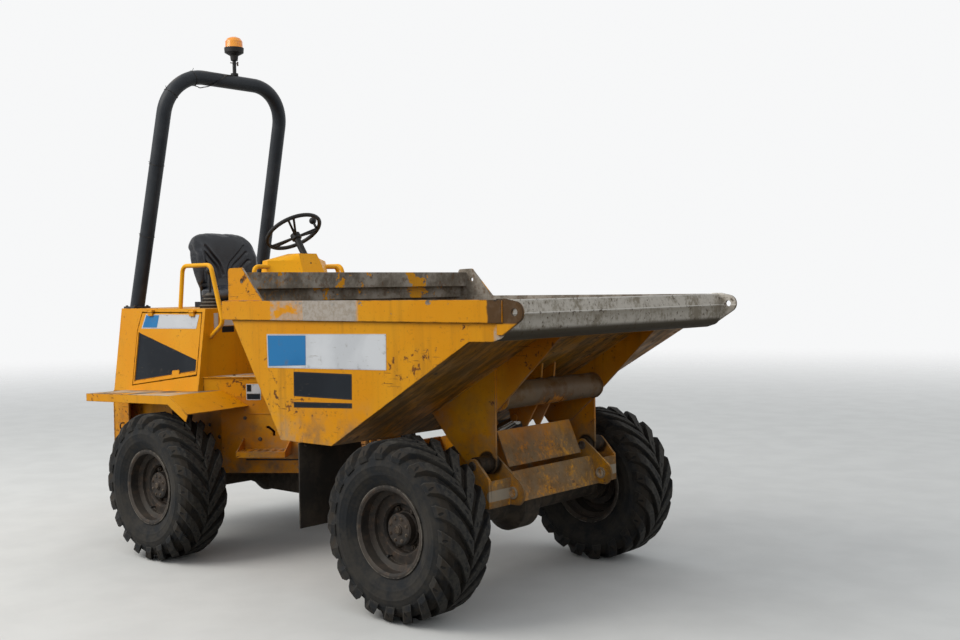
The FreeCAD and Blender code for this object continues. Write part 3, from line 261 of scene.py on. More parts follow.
caked = {"height": (0.84, 0.72), "grain": 42, "tone": 6, "rust": 85, "pale": (0.215, 0.15, 0.085),
         "brown": (0.16, 0.095, 0.042), "rustColour": (0.085, 0.035, 0.014)}


def cakedDirt(s, speckle, start, full, amount):
    # amount and colour of the dirt on faces that look ahead or sideways, growing from start to full along X
    x, y, z = s.axes(s.place)
    nx, ny, nz = s.axes(s.facing)
    faces = s.most(s.band(nx, 0.15, 0.6), s.times(s.band(s.maths("ABSOLUTE", ny), 0.8, 0.95), 0.6))
    field = s.plus(s.times(speckle, 0.45), s.times(s.noise(s.place, caked["grain"], 6, 0.72), 0.55))
    cake = s.times(s.band(x, start, full), s.band(z, *caked["height"]), faces, s.band(field, 0.36, 0.52), amount)
    grit = s.mixed(s.band(s.noise(s.place, caked["tone"], 7, 0.7), 0.40, 0.62), caked["pale"], caked["brown"])
    rust = s.band(s.noise(s.place, caked["rust"], 4, 0.7), 0.60, 0.68, 0.7)
    return cake, s.mixed(rust, grit, caked["rustColour"])


# Dark patches on the cross tube, grease and painted shade round the tipping pins, and bare rims of the tie-down
# eyes: centres are (x, z)

greaseAndShadeSpots = {
    "tube": {"centre": (1.205, 1.000), "radius": (0.072, 0.066), "sides": (0.382, 0.380), "amount": 0.88,
             "tones": ((0.050, 0.030, 0.012), (0.115, 0.095, 0.068))},
    "pin": {"centre": (1.1555, 0.6835), "radius": (0.062, 0.046), "sides": (0.350, 0.364, 0.498, 0.512),
            "amount": 0.94, "ragged": 0.06, "colour": (0.010, 0.009, 0.008)},
    "eye": {"centre": (1.271, 0.550), "radius": (0.031, 0.0275), "sides": (0.340, 0.343), "amount": 0.85,
            "colour": (0.36, 0.31, 0.24)}}


def greaseAndShadeParts(s, speckle):
    # (amount, colour) of each one
    reach = s.maths("ABSOLUTE", s.axes(s.place)[1])
    nz = s.axes(s.facing)[2]
    tube, pin, eye = greaseAndShadeSpots["tube"], greaseAndShadeSpots["pin"], greaseAndShadeSpots["eye"]
    # dark patches on and round the cross tube, more where it faces up
    tubeMask = s.times(s.band(s.fromLine(s.place, tube["centre"]), *tube["radius"]), s.band(reach, *tube["sides"]),
                       s.band(s.plus(speckle, s.times(nz, 0.10)), 0.30, 0.44), tube["amount"])
    # grease round the tipping pins, with painted shade of the deep hollow at the pin boss
    gap = s.plus(s.fromLine(s.place, pin["centre"]), s.times(s.less(speckle, 0.5), pin["ragged"]))
    pinMask = s.times(s.band(gap, *pin["radius"]), s.window(reach, *pin["sides"]), pin["amount"])
    eyeMask = s.times(s.band(s.fromLine(s.place, eye["centre"]), *eye["radius"]), s.band(reach, *eye["sides"]),
                      s.band(speckle, 0.25, 0.45), eye["amount"])
    return ((tubeMask, s.mixed(s.band(speckle, 0.40, 0.60), *tube["tones"])), (pinMask, pin["colour"]),
            (eyeMask, eye["colour"]))


def weatheredPaint(name, changes):
    look = {**paint, **changes}
    s = Shader(name)
    colour, bare, dirt, height = paintLayers(s, look)
    rough = s.between(s.most(bare, dirt), look["rough"], look["dirtRough"])
    return s.finish(colour, rough, height, look["bump"], look["bevel"], Specular_IOR_Level=look["shine"])


# Skip paint: the same layers, with bare grey steel inside, on the lip and in scuffs along the rails

skipFinish = {
    **paint, "streak": 0.42, "edgeWear": 0.8, "splash": (1.05, 0.7),
    "spots": [((0.25, -0.88, 0.98), 0.18, 0.16), ((0.14, -0.88, 1.02), 0.14, 0.12),
              ((1.2, -0.88, 1.2), 0.35, 0.08), ((1.45, 0.0, 1.2), 0.6, 0.10),
              ((0.03, -0.88, 1.60), 0.16, 0.17), ((0.10, -0.88, 1.50), 0.12, 0.14)],
    "steel": (0.36, 0.32, 0.27), "steelDark": (0.15, 0.125, 0.095), "steelRust": (0.13, 0.07, 0.035),
    "remnant": (0.40, 0.18, 0.025), "lipPale": (0.60, 0.55, 0.48), "lipWornAndShade": (0.30, 0.26, 0.20),
    "lipUnderShade": (0.09, 0.075, 0.055), "lipHighlight": (0.80, 0.76, 0.69), "lipPits": (0.075, 0.048, 0.030),
    "rubbed": ((0.42, 0.40, 0.37), (0.33, 0.305, 0.265)),
    "railEndTones": ((0.030, 0.020, 0.014), (0.10, 0.080, 0.062)),
    "belly": (0.060, 0.043, 0.018), "deep": (0.05, 0.038, 0.028), "bareRough": (0.36, 0.80), "bevel": 0.004,
    # places in metres: a pair fades in, four values are a window
    "lipStart": (1.598, 1.608), "lipFoot": (1.287, 1.291), "lipSides": (0.8805, 0.8795),
    "lipShadeBand": (1.36, 1.40, 1.398, 1.4035), "lipCreaseHighlight": (1.4035, 1.4050, 1.4075, 1.4095), "lipTopHighlight": (1.457, 1.461),
    "railSides": (0.8805, 0.8815), "railHeight": (1.36, 1.37, 1.467, 1.471), "railTop": (1.42, 1.455),
    "patch": (0.41, 0.414, 0.78, 0.81), "worn": (0.165, 0.169, 0.41, 0.42), "railEnd": (1.578, 1.590)}


def lipColour(s, look, speckle):
    # pale worn steel, with painted shade under the crease and on faces that look down, and a painted highlight along
    # the crease and the top
    z = s.axes(s.place)[2]
    nz = s.axes(s.facing)[2]
    field = s.plus(s.times(speckle, 0.5), s.times(s.noise(s.place, 34, 7, 0.72), 0.5))
    colour = s.mixed(s.band(field, 0.40, 0.54), look["lipWornAndShade"], look["lipPale"])
    # painted shade: a darker band under the crease, and darker faces that look down
    colour = s.mixed(s.times(s.window(z, *look["lipShadeBand"]), 0.55), colour, look["lipWornAndShade"])
    colour = s.mixed(s.band(nz, 0.05, -0.45), colour, look["lipUnderShade"])
    # painted highlight: a bright line along the crease and along the top
    line = s.most(s.window(z, *look["lipCreaseHighlight"]), s.band(z, *look["lipTopHighlight"]))
    colour = s.mixed(s.times(line, 0.8), colour, look["lipHighlight"])
    return s.mixed(s.band(s.noise(s.place, 46, 4), 0.60, 0.68, 0.8), colour, look["lipPits"])


def skipPaint(look):
    s = Shader("skipPaint")
    colour, bare, dirt, height = paintLayers(s, look)
    x, y, z = s.axes(s.place)
    nx, ny, nz = s.axes(s.facing)
    reach = s.maths("ABSOLUTE", y)
    speckle = s.noise(s.place, 7, 7, 0.66)
    # where the paint has gone: inside, on the lip and in scuffs on the rails
    inwards = s.band(s.times(y, ny), -0.2, -0.6)
    floorUp = s.times(s.band(nz, 0.12, 0.3), s.band(reach, 0.8815, 0.8795))
    boardFace = s.times(s.band(nx, 0.3, 0.8), s.band(x, 0.2, 0.1))
    boardKept = s.band(s.noise(s.place, 3.4, 6, 0.7), 0.56, 0.60)
    inside = s.most(inwards, floorUp, s.times(boardFace, s.between(boardKept, 1.0, 0.15)))
    lip = s.times(s.band(x, *look["lipStart"]), s.band(z, *look["lipFoot"]), s.band(reach, *look["lipSides"]))
    rail = s.times(s.band(reach, *look["railSides"]), s.window(z, *look["railHeight"]))
    scuffs = s.noise(s.moved(s.place, scale=(9, 1, 16)), 1.0, 6, 0.65)
    topScuffs = s.times(s.band(z, *look["railTop"]), s.band(scuffs, 0.55, 0.62))
    scuffed = s.times(rail, s.most(s.band(scuffs, 0.66, 0.70), s.band(nz, 0.4, 0.9, 0.8), topScuffs))
    metal = s.plus(s.most(inside, lip, scuffed), s.times(s.less(speckle, 0.5), 0.7))
    ragged = s.band(metal, 0.42, 0.58)
    steel = s.mixed(s.band(speckle, 0.36, 0.64), look["steelDark"], look["steel"])
    steel = s.mixed(s.band(s.noise(s.place, 31, 5), 0.52, 0.66, 0.6), steel, look["steelRust"])
    remnant = s.times(boardFace, s.band(s.noise(s.place, 44, 6, 0.7), 0.54, 0.60), s.band(y, -0.25, -0.75), 0.75)
    steel = s.mixed(remnant, steel, look["remnant"])
    colour = s.mixed(ragged, colour, s.mixed(lip, steel, lipColour(s, look, speckle)))
    # stretches of the rails that are rubbed down, with a ragged border, and their dark front ends
    along = s.plus(x, s.times(s.less(s.noise(s.place, 24, 4), 0.5), 0.02))
    patch = s.times(rail, s.window(along, *look["patch"]), 0.93)
    worn = s.times(rail, s.window(along, *look["worn"]), s.band(scuffs, 0.40, 0.52), 0.675)
    rubbed = s.mixed(s.band(s.noise(s.place, 38, 6, 0.7), 0.42, 0.60), *look["rubbed"])
    colour = s.mixed(s.most(patch, worn), colour, rubbed)
    railEnd = s.times(rail, s.band(along, *look["railEnd"]), 0.92)
    colour = s.mixed(railEnd, colour, s.mixed(s.band(speckle, 0.4, 0.6), *look["railEndTones"]))
    # dark streaks on faces that look down behind the lip, and the inside darker towards the bottom
    bellyStreaks = s.noise(s.moved(s.place, scale=(3, 14, 3)), 1.6, 6, 0.65)
    belly = s.times(s.band(nz, -0.25, -0.6), s.band(x, 1.57, 1.45), s.band(bellyStreaks, 0.36, 0.60), 0.7)
    colour = s.mixed(belly, colour, look["belly"])
    colour = s.mixed(s.times(inside, s.band(z, 1.35, 0.9), 0.45), colour, look["deep"])
    rough = s.between(s.most(bare, dirt, ragged), *look["bareRough"])
    grain = s.plus(height, s.times(ragged, speckle, 1.2))
    return s.finish(colour, rough, grain, look["bump"], look["bevel"], Specular_IOR_Level=look["shine"])


# Rubber of the tyres: dusty faces, dark grooves, pale scuffed shoulders and a pit or two in each lug, whose
# near-black colour is painted shade

tyreLook = {
    "tones": ((0.007, 0.0085, 0.0105), (0.030, 0.027, 0.023)), "groove": (0.352, 0.368, 0.389, 0.401),
    "mud": (0.030, 0.023, 0.016), "face": (0.402, 0.411), "faceDust": (0.050, 0.046, 0.039), "wall": (0.35, 0.30),
    "wallDust": (0.046, 0.041, 0.034), "edgeDust": (0.085, 0.078, 0.067), "pit": (0.003, 0.003, 0.003),
    "rings": 16.0, "ringsEnd": (0.36, 0.33), "rough": (0.72, 0.95), "bump": 0.0016, "bevel": 0.004}
# pits: degrees of the first one in the outer row, place across or from the axle, half sizes, slant, and the depth
# from which they show
lugStep = 18.0
lugPits = {"centre": (0.6, 0.026, (0.0135, 0.0052), (-0.834, 0.551), (0.392, 0.397)),
           "shoulder": (-2.0, 0.373, (0.0062, 0.0125), (1, 0), (0.128, 0.134))}


def lugPit(s, angle, row, radius, second, depth, look):
    # 1 inside an oval pit repeated on every lug; the inner row is half a step further round
    first, place, (halfLong, halfWide), (c, d), start = look
    step = math.radians(lugStep)
    turn = s.less(s.less(angle, math.radians(first)), s.times(row, step / 2))
    turn = s.less(s.maths("FRACT", s.plus(s.maths("DIVIDE", turn, step), 0.5)), 0.5)
    u = s.times(turn, step, radius)
    v = s.less(second, place)
    a = s.maths("DIVIDE", s.plus(s.times(u, c), s.times(v, d)), halfLong)
    b = s.maths("DIVIDE", s.less(s.times(v, c), s.times(u, d)), halfWide)
    gap = s.maths("SQRT", s.plus(s.times(a, a), s.times(b, b)))
    return s.times(s.band(gap, 1.15, 0.75), s.band(depth, *start))


def tyreRubber(name, centre):
    look = tyreLook
    s = Shader(name)
    local = s.moved(s.place, centre)
    x, y, z = s.axes(local)
    radius = s.fromLine(local)
    across = s.maths("ABSOLUTE", y)
    speckle = s.noise(local, 11, 8, 0.68)
    fine = s.noise(local, 60, 5, 0.6)
    colour = s.mixed(s.band(speckle, 0.38, 0.62), *look["tones"])
    groove = s.times(s.window(radius, *look["groove"]), s.band(speckle, 0.3, 0.6), 0.75)
    face = s.times(s.band(radius, *look["face"]), s.band(fine, 0.35, 0.62), 0.8)
    wall = s.times(s.band(radius, *look["wall"]), s.band(s.noise(local, 5, 6, 0.7), 0.40, 0.66), 0.5)
    edge = s.times(s.edges(0.006), s.band(fine, 0.3, 0.6), 0.55)
    for mask, tone in ((groove, "mud"), (face, "faceDust"), (wall, "wallDust"), (edge, "edgeDust")):
        colour = s.mixed(mask, colour, look[tone])
    angle = s.maths("ARCTAN2", x, z)
    row = s.band(s.times(y, math.copysign(1, centre[1])), 0.0005, -0.0005)
    pits = s.most(lugPit(s, angle, row, radius, across, radius, lugPits["centre"]),
                  lugPit(s, angle, row, radius, radius, across, lugPits["shoulder"]))
    # painted shade: the pits are coloured near black
    colour = s.mixed(s.times(pits, 0.92), colour, look["pit"])
    rings = s.add("TexWave", {"Vector": s.add("CombineXYZ", {0: radius}), "Scale": look["rings"], "Distortion": 0.4},
                  out="Fac", bands_direction="X")
    rings = s.times(rings, s.band(radius, *look["ringsEnd"]), 0.25)
    height = s.less(s.plus(s.times(fine, 0.6), rings, s.times(speckle, 0.8)), s.times(pits, 3.0))
    return s.finish(colour, s.between(speckle, *look["rough"]), height, look["bump"], look["bevel"],
                    Specular_IOR_Level=0.3)


# Wheel steel: brown rust over dark paint, worn bright at the flange, dust in the dish

wheelLook = {
    "tones": ((0.012, 0.0105, 0.009), (0.044, 0.032, 0.024)), "rust": (0.085, 0.052, 0.032), "dish": (0.13, 0.17),
    "dishDust": (0.066, 0.056, 0.045), "flange": (0.2045, 0.2080), "flangeSteel": (0.17, 0.155, 0.13),
    "edgeSteel": (0.24, 0.20, 0.16), "rough": (0.55, 0.9), "bump": 0.0012, "bevel": 0.003}


def wheelSteel(name, centre):
    look = wheelLook
    s = Shader(name)
    local = s.moved(s.place, centre)
    radius = s.fromLine(local)
    speckle = s.noise(local, 13, 8, 0.68)
    colour = s.mixed(s.band(speckle, 0.36, 0.60), *look["tones"])
    rust = s.band(s.noise(local, 27, 5), 0.55, 0.68, 0.6)
    dish = s.times(s.band(radius, *look["dish"]), s.band(s.noise(local, 4, 5), 0.38, 0.62), 0.6)
    flange = s.times(s.band(radius, *look["flange"]), s.band(speckle, 0.42, 0.60), 0.8)
    edge = s.times(s.edges(0.004), s.band(speckle, 0.4, 0.6), 0.5)
    for mask, tone in ((rust, "rust"), (dish, "dishDust"), (flange, "flangeSteel"), (edge, "edgeSteel")):
        colour = s.mixed(mask, colour, look[tone])
    height = s.plus(speckle, s.times(s.noise(local, 55, 3), 0.4))
    return s.finish(colour, s.between(speckle, *look["rough"]), height, look["bump"], look["bevel"],
                    Specular_IOR_Level=0.4)


# Other finishes, each a row: base colour, second colour, noise scale, roughness low and high, bump depth, metal

plainFinishes = {
    "darkIron": ((0.030, 0.024, 0.018), (0.085, 0.066, 0.048), 14, 0.6, 0.95, 0.0016, 0.0),
    "pinSteel": ((0.22, 0.19, 0.16), (0.07, 0.045, 0.03), 22, 0.35, 0.7, 0.0006, 0.9),
    "ramRod": ((0.50, 0.50, 0.49), (0.38, 0.36, 0.33), 30, 0.16, 0.3, 0.0002, 1.0),
    "hoopBlack": ((0.013, 0.017, 0.023), (0.027, 0.031, 0.037), 6, 0.38, 0.55, 0.0005, 0.0),
    "blackPlastic": ((0.008, 0.008, 0.009), (0.020, 0.019, 0.018), 40, 0.45, 0.65, 0.0004, 0.0),
    "boltSteel": ((0.05, 0.034, 0.024), (0.13, 0.105, 0.08), 60, 0.45, 0.8, 0.0008, 0.6),
    "flapRubber": ((0.020, 0.017, 0.014), (0.060, 0.046, 0.034), 5, 0.75, 0.95, 0.0016, 0.0),
    "bootRubber": ((0.014, 0.014, 0.014), (0.045, 0.042, 0.038), 18, 0.55, 0.8, 0.0006, 0.0)}
wornEdge = (0.20, 0.17, 0.14)


def plainFinish(name, first, second, scale, roughLow, roughHigh, depth, metal):
    s = Shader(name)
    speckle = s.noise(s.place, scale, 7, 0.66)
    nz = s.axes(s.facing)[2]
    colour = s.mixed(s.band(speckle, 0.38, 0.64), first, second)
    dust = s.times(s.band(nz, 0.5, 0.95), s.band(s.noise(s.place, 8, 6, 0.7), 0.42, 0.66), 0.45)
    colour = s.mixed(dust, colour, dryDust)
    colour = s.mixed(s.times(s.edges(0.004), s.band(speckle, 0.42, 0.6), 0.35), colour, wornEdge)
    height = s.plus(speckle, s.times(s.noise(s.place, scale * 4, 3), 0.3))
    return s.finish(colour, s.between(speckle, roughLow, roughHigh), height, depth, 0.003, Metallic=metal,
                    Specular_IOR_Level=0.3)


vinylLook = {"tones": ((0.006, 0.008, 0.013), (0.012, 0.015, 0.022)), "dust": (0.16, 0.15, 0.135), "grain": 420.0,
             "rough": (0.24, 0.38), "bump": 0.0005}


def vinyl(look):
    # black vinyl: fine leather grain, soft gloss, a little pale dust
    s = Shader("vinyl")
    grain = s.add("TexVoronoi", {"Vector": s.place, "Scale": look["grain"]}, out="Distance",
                  feature="DISTANCE_TO_EDGE")
    speckle = s.noise(s.place, 9, 6, 0.65)
    nz = s.axes(s.facing)[2]
    colour = s.mixed(s.band(speckle, 0.4, 0.62), *look["tones"])
    dust = s.times(s.band(nz, 0.3, 1.0), s.band(s.noise(s.place, 14, 6, 0.7), 0.46, 0.7), 0.08)
    height = s.plus(s.times(s.band(grain, 0.0, 0.25), 0.35), s.times(speckle, 0.8))
    return s.finish(s.mixed(dust, colour, look["dust"]), s.between(speckle, *look["rough"]), height, look["bump"],
                    Specular_IOR_Level=0.5)


# Plastic plates, each a row: colour, faded colour, grime, shine

signFinishes = {"whiteSign": ((0.66, 0.68, 0.71), (0.56, 0.58, 0.61), 1.0, 0.4),
                "blueSign": ((0.010, 0.15, 0.38), (0.016, 0.18, 0.43), 0.8, 0.25),
                "blackSignAndShadow": ((0.007, 0.010, 0.015), (0.012, 0.016, 0.022), 0.35, 0.12)}
signScuff = (0.16, 0.12, 0.08)


def sign(name, colour, faded, grime, shine):
    # faint fading, scuffs, and grime in spots and at the edges
    s = Shader(name)
    speckle = s.noise(s.place, 12, 7, 0.7)
    base = s.mixed(s.band(s.noise(s.place, 3, 4), 0.4, 0.6), colour, faded)
    scuffs = s.noise(s.moved(s.place, turn=(0, 0.4, 0), scale=(5, 5, 40)), 2.0, 4)
    base = s.mixed(s.band(scuffs, 0.66, 0.70, 0.5 * grime), base, signScuff)
    base = s.mixed(s.band(speckle, 0.58, 0.72, 0.5 * grime), base, soil)
    base = s.mixed(s.times(s.edges(0.01), 0.5), base, soil)
    return s.finish(base, s.between(speckle, 0.45, 0.65), speckle, 0.0006, Specular_IOR_Level=shine)


amberLook = {"clear": (1.0, 0.42, 0.02), "rim": (0.75, 0.16, 0.002), "dust": (0.5, 0.3, 0.12),
             "paintedGlow": (1.0, 0.30, 0.01)}


def amberPlastic(look):
    # clear amber with a faint painted glow, and painted shade that turns it darker and redder towards its outline
    s = Shader("amber")
    speckle = s.noise(s.place, 30, 5)
    # painted shade: darker and redder where the surface turns away from the camera
    rim = s.add("LayerWeight", {"Blend": 0.35}, out="Facing")
    colour = s.mixed(s.band(speckle, 0.52, 0.72, 0.3), s.mixed(rim, look["clear"], look["rim"]), look["dust"])
    return s.finish(colour, s.between(speckle, 0.12, 0.3), speckle, 0.0003, Transmission_Weight=0.25,
                    Emission_Color=look["paintedGlow"], Emission_Strength=0.12, Coat_Weight=0.4)


# What differs from the common paint; mud is (start along X, full along X, amount)

wornPaint = {"chips": 0.69, "greaseAndShadeMarks": True, "edgeColour": (0.30, 0.26, 0.20)}
paintedFinishes = {
    "bodyPaint": {"dust": 0.45, "splash": (0.95, 0.4)},
    "chassisPaint": {**wornPaint, "colour": (0.58, 0.20, 0.003), "dust": 0.8, "streak": 0.6, "splash": (1.0, 0.45),
                     "edgeWear": 0.9, "mud": (1.0, 1.12, 0.85)},
    "guardPaint": {"dust": 1.0, "chips": 0.70, "splash": (0.82, 0.70), "edgeWear": 0.8,
                   "dustColour": (0.52, 0.42, 0.30), "cover": (0.34, 0.52)},
    "legPaint": {**wornPaint, "colour": (0.54, 0.18, 0.003), "streak": 0.8, "splash": (1.2, 0.5), "edgeWear": 1.0,
                 "mud": (1.08, 1.13, 0.9)},
    "cleanPaint": {"colour": (0.86, 0.38, 0.006), "faded": (0.88, 0.42, 0.01), "chips": 0.79, "dust": 0.15,
                   "splash": (0.9, 0.5), "edgeWear": 0.3, "streak": 0.15, "scratches": 0.0}}
finishes = {
    **{name: plainFinish(name, *row) for name, row in plainFinishes.items()},
    **{name: sign(name, *row) for name, row in signFinishes.items()},
    **{name: weatheredPaint(name, changes) for name, changes in paintedFinishes.items()},
    "skip": skipPaint(skipFinish), "vinyl": vinyl(vinylLook), "amber": amberPlastic(amberLook)}
finishNodes = {
    "skip": "skip", "legPaint": "skip_legs", "chassisPaint": "front_chassis rear_chassis pivot_block steps",
    "darkIron": "tip_ram_barrel steer_ram_barrel axle_front axle_rear engine propshaft_front propshaft_rear exhaust",
    "ramRod": "tip_ram_rod steer_ram_rod", "pinSteel": "pivot_pin tipping_pins",
    "bodyPaint": "body side_door_left side_door_right", "hoopBlack": "rear_grille seat_pan roll_hoop",
    "guardPaint": "mudguards platform", "cleanPaint": "dash handrails", "amber": "beacon_lens",
    "blackPlastic": "beacon_stem steering_column steering_wheel gear_lever", "bootRubber": "gear_boot pedals",
    "flapRubber": "mudflaps", "vinyl": "seat_cushion seat_back"}
wheelCentres = {end + "_" + side: (x, y, 0.415) for end, x in (("front", 0.9675), ("rear", -0.9675))
                for side, y in (("left", 0.765), ("right", -0.765))}


def dress(obj, material):
    obj.data.materials.clear()
    obj.data.materials.append(material)


for finishName, nodeNames in finishNodes.items():
    for nodeName in nodeNames.split():
        dress(nodes[nodeName], finishes[finishName])
for corner, centre in wheelCentres.items():
    dress(nodes["tyre_" + corner], tyreRubber("tyreRubber_" + corner, centre))
    dress(nodes["wheel_" + corner], wheelSteel("wheelSteel_" + corner, centre))
print("stage: finishes on the frame")


# Meshes from number arrays

def turns(steps):
    # equal angles once round
    return np.linspace(0, 2 * np.pi, steps, endpoint=False)


def unit(vectors):
    # the same directions with length 1, for one vector or rows of them
    return vectors / np.linalg.norm(vectors, axis=-1, keepdims=True)


def runAlong(line):
    # distance along the line at each of its points
    return np.concatenate([[0], np.cumsum(np.linalg.norm(np.diff(line, axis=0), axis=1))])


def gridFaces(rows, columns, closeRows=False, closeColumns=False):
    # quads of a grid whose points are numbered row by row
    r = np.arange(rows if closeRows else rows - 1)
    c = np.arange(columns if closeColumns else columns - 1)
    r, c = np.meshgrid(r, c, indexing="ij")
    r, c = r.ravel(), c.ravel()
    r2, c2 = (r + 1) % rows, (c + 1) % columns
    return np.stack([r * columns + c, r * columns + c2, r2 * columns + c2, r2 * columns + c], 1)


def closedMesh(name, points, faces, merge, numbers=None):
    # points nearer than the merge distance are joined, and each closed shell is made to face outwards
    mesh = bpy.data.meshes.new(name)
    mesh.from_pydata(points.tolist(), [], faces)
    if numbers:
        mesh.polygons.foreach_set("material_index", numbers)
    work = bmesh.new()
    work.from_mesh(mesh)
    bmesh.ops.remove_doubles(work, verts=work.verts, dist=merge)
    bmesh.ops.recalc_face_normals(work, faces=work.faces)
    work.to_mesh(mesh)
    work.free()
    return mesh


def addPiece(name, parts, materials, body, smooth=35):
    # parts are (points, faces, material number); bends sharper than the smooth angle stay sharp
    faces = []
    numbers = []
    start = 0
    for p, f, m in parts:
        faces += [[int(i) + start for i in face] for face in f]
        numbers += [m] * len(f)
        start += len(p)
    mesh = closedMesh(name, np.concatenate([p for p, f, m in parts]), faces, 1e-6, numbers)
    for material in materials:
        mesh.materials.append(finishes[material])
    mesh.shade_smooth()
    mesh.set_sharp_from_angle(angle=math.radians(smooth))
    piece = placed(name, mesh)
    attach(piece, body)


def turnedForm(profile, centre, axis, steps=24, number=0):
    # profile of (distance along the axis, radius) carried round the axis; radius 0 closes an end:
    # point = centre + distance * axis + radius * (cos * side + sin * other)
    axis = np.array(axis, float)
    side = unit(np.cross(axis, (0.0, 0.0, 1.0) if abs(axis[2]) < 0.9 else (1.0, 0.0, 0.0)))
    other = np.cross(axis, side)
    profile = np.array(profile, float)
    angle = turns(steps)
    ring = np.cos(angle)[:, None] * side + np.sin(angle)[:, None] * other
    points = np.array(centre) + profile[:, 0, None, None] * axis + profile[:, 1, None, None] * ring[None]
    return points.reshape(-1, 3), gridFaces(len(profile), steps, False, True), number


def drum(low, high, radius):
    # profile of a plain round disc or pin
    return (low, 0), (low, radius), (high, radius), (high, 0)


def tubeForm(path, radius, steps=10, number=0):
    # circle carried along a path; its frame turns as little as it can from point to point
    path = np.array(path, float)
    along = unit(np.gradient(path, axis=0))
    side = np.cross(along[0], (0.31, 0.17, 0.93))
    rings = []
    angle = turns(steps)
    for place, direction in zip(path, along):
        side = unit(side - direction * (side @ direction))
        other = np.cross(direction, side)
        rings.append(place + radius * (np.cos(angle)[:, None] * side + np.sin(angle)[:, None] * other))
    points = np.concatenate(rings + [path[:1], path[-1:]])
    count = len(path) * steps
    last = count - steps
    faces = gridFaces(len(path), steps, False, True).tolist()
    faces += [[(i + 1) % steps, i, count] for i in range(steps)]
    faces += [[last + i, last + (i + 1) % steps, count + 1] for i in range(steps)]
    return points, faces, number


plateSink = 0.0004


def slabForm(corners, outwards, thick, number=0, rounding=0.004, steps=4):
    # flat plate that starts a little inside its wall. Each corner becomes a short curve:
    # corner + rounding * ((1 - t)^2 * direction back + t^2 * direction ahead), for t from 0 to 1
    corners = np.array(corners, float)
    outwards = unit(np.array(outwards, float))
    rim = []
    for here, back, ahead in zip(corners, np.roll(corners, 1, 0), np.roll(corners, -1, 0)):
        a, b = unit(back - here), unit(ahead - here)
        for t in np.linspace(0, 1, steps):
            rim.append(here + rounding * ((1 - t) ** 2 * a + t ** 2 * b))
    rim = np.array(rim)
    n = len(rim)
    points = np.concatenate([rim - outwards * plateSink, rim + outwards * thick])
    faces = gridFaces(2, n, False, True).tolist()
    faces += [list(range(n))[::-1], [n + i for i in range(n)]]
    return points, faces, number


# Signs and stripes: blank plates on the skip's sides, the doors and the body's front.
# A wall stands at y = half + (z - low) * lean. A row is its corners as (x, z), lift off the wall, thickness,
# finish number and rounding. "turned" is the sum of x and its mirrored value for the left side's blue plate,
# which keeps it at the left end of the white one on both sides

sides = ((-1, "right"), (1, "left"))
signMaterials = ["whiteSign", "blueSign", "blackSignAndShadow"]
skipWall = {"half": 0.8801, "low": 0.0, "lean": 0.0, "turned": 1.090, "rows": (
    (((0.119, 1.298), (0.971, 1.312), (0.969, 1.148), (0.123, 1.130)), 0.0, 0.0012, 0, 0.004),
    (((0.127, 1.291), (0.417, 1.296), (0.415, 1.152), (0.131, 1.138)), 0.0012, 0.0005, 1, 0.002),
    (((0.322, 1.118), (0.739, 1.122), (0.737, 1.002), (0.321, 0.998)), 0.0, 0.0010, 2, 0.004),
    (((0.319, 0.970), (0.737, 0.986), (0.737, 0.962), (0.319, 0.942)), 0.0, 0.0008, 2, 0.002))}
doorWall = {"half": 0.605, "low": 0.911, "lean": (0.540 - 0.605) / (1.415 - 0.911), "turned": None, "rows": (
    (((-1.480, 1.380), (-0.925, 1.380), (-0.945, 1.298), (-1.515, 1.292)), 0.0002, 0.0010, 0, 0.004),
    (((-1.474, 1.374), (-1.335, 1.374), (-1.348, 1.300), (-1.503, 1.298)), 0.0012, 0.0005, 1, 0.002),
    (((-1.543, 1.268), (-0.918, 1.126), (-0.918, 1.058), (-1.543, 0.974)), -0.0068, 0.0010, 2, 0.006))}


def signPlates(wall, side):
    parts = []
    for corners, lift, thick, number, rounding in wall["rows"]:
        if wall["turned"] and side > 0 and number == 1:
            corners = [(wall["turned"] - x, z) for x, z in corners]
        corners = [(x, side * (wall["half"] + (z - wall["low"]) * wall["lean"] + lift), z) for x, z in corners]
        parts.append(slabForm(corners, (0, side, -wall["lean"]), thick, number, rounding))
    return parts


for side, name in sides:
    addPiece("skipSigns_" + name, signPlates(skipWall, side), signMaterials, "skip")
    addPiece("doorSigns_" + name, signPlates(doorWall, side), signMaterials, "door_" + name)

# labels on the body's front: low corner and high corner as (y, z), finish number
labelLook = {"x": -0.8719, "thick": 0.0008, "rounding": 0.003, "rows": (
    ((-0.483, 1.288), (-0.453, 1.388), 0), ((-0.427, 1.312), (-0.341, 1.351), 0),
    ((-0.427, 1.273), (-0.341, 1.309), 2))}


def bodyLabels(look):
    parts = []
    for (y0, z0), (y1, z1), number in look["rows"]:
        corners = [(look["x"], y, z) for y, z in ((y0, z0), (y1, z0), (y1, z1), (y0, z1))]
        parts.append(slabForm(corners, (1, 0, 0), look["thick"], number, look["rounding"]))
    addPiece("bodyLabels", parts, signMaterials, "rear")


bodyLabels(labelLook)
print("stage: signs")


# Paths, fixings and weld beads

def spaced(line, spacing):
    # the same line with points at equal steps along it
    line = np.array(line, float)
    run = runAlong(line)
    steps = np.linspace(0, run[-1], max(2, int(run[-1] / spacing) + 1))
    return np.stack([np.interp(steps, run, line[:, i]) for i in range(3)], 1)


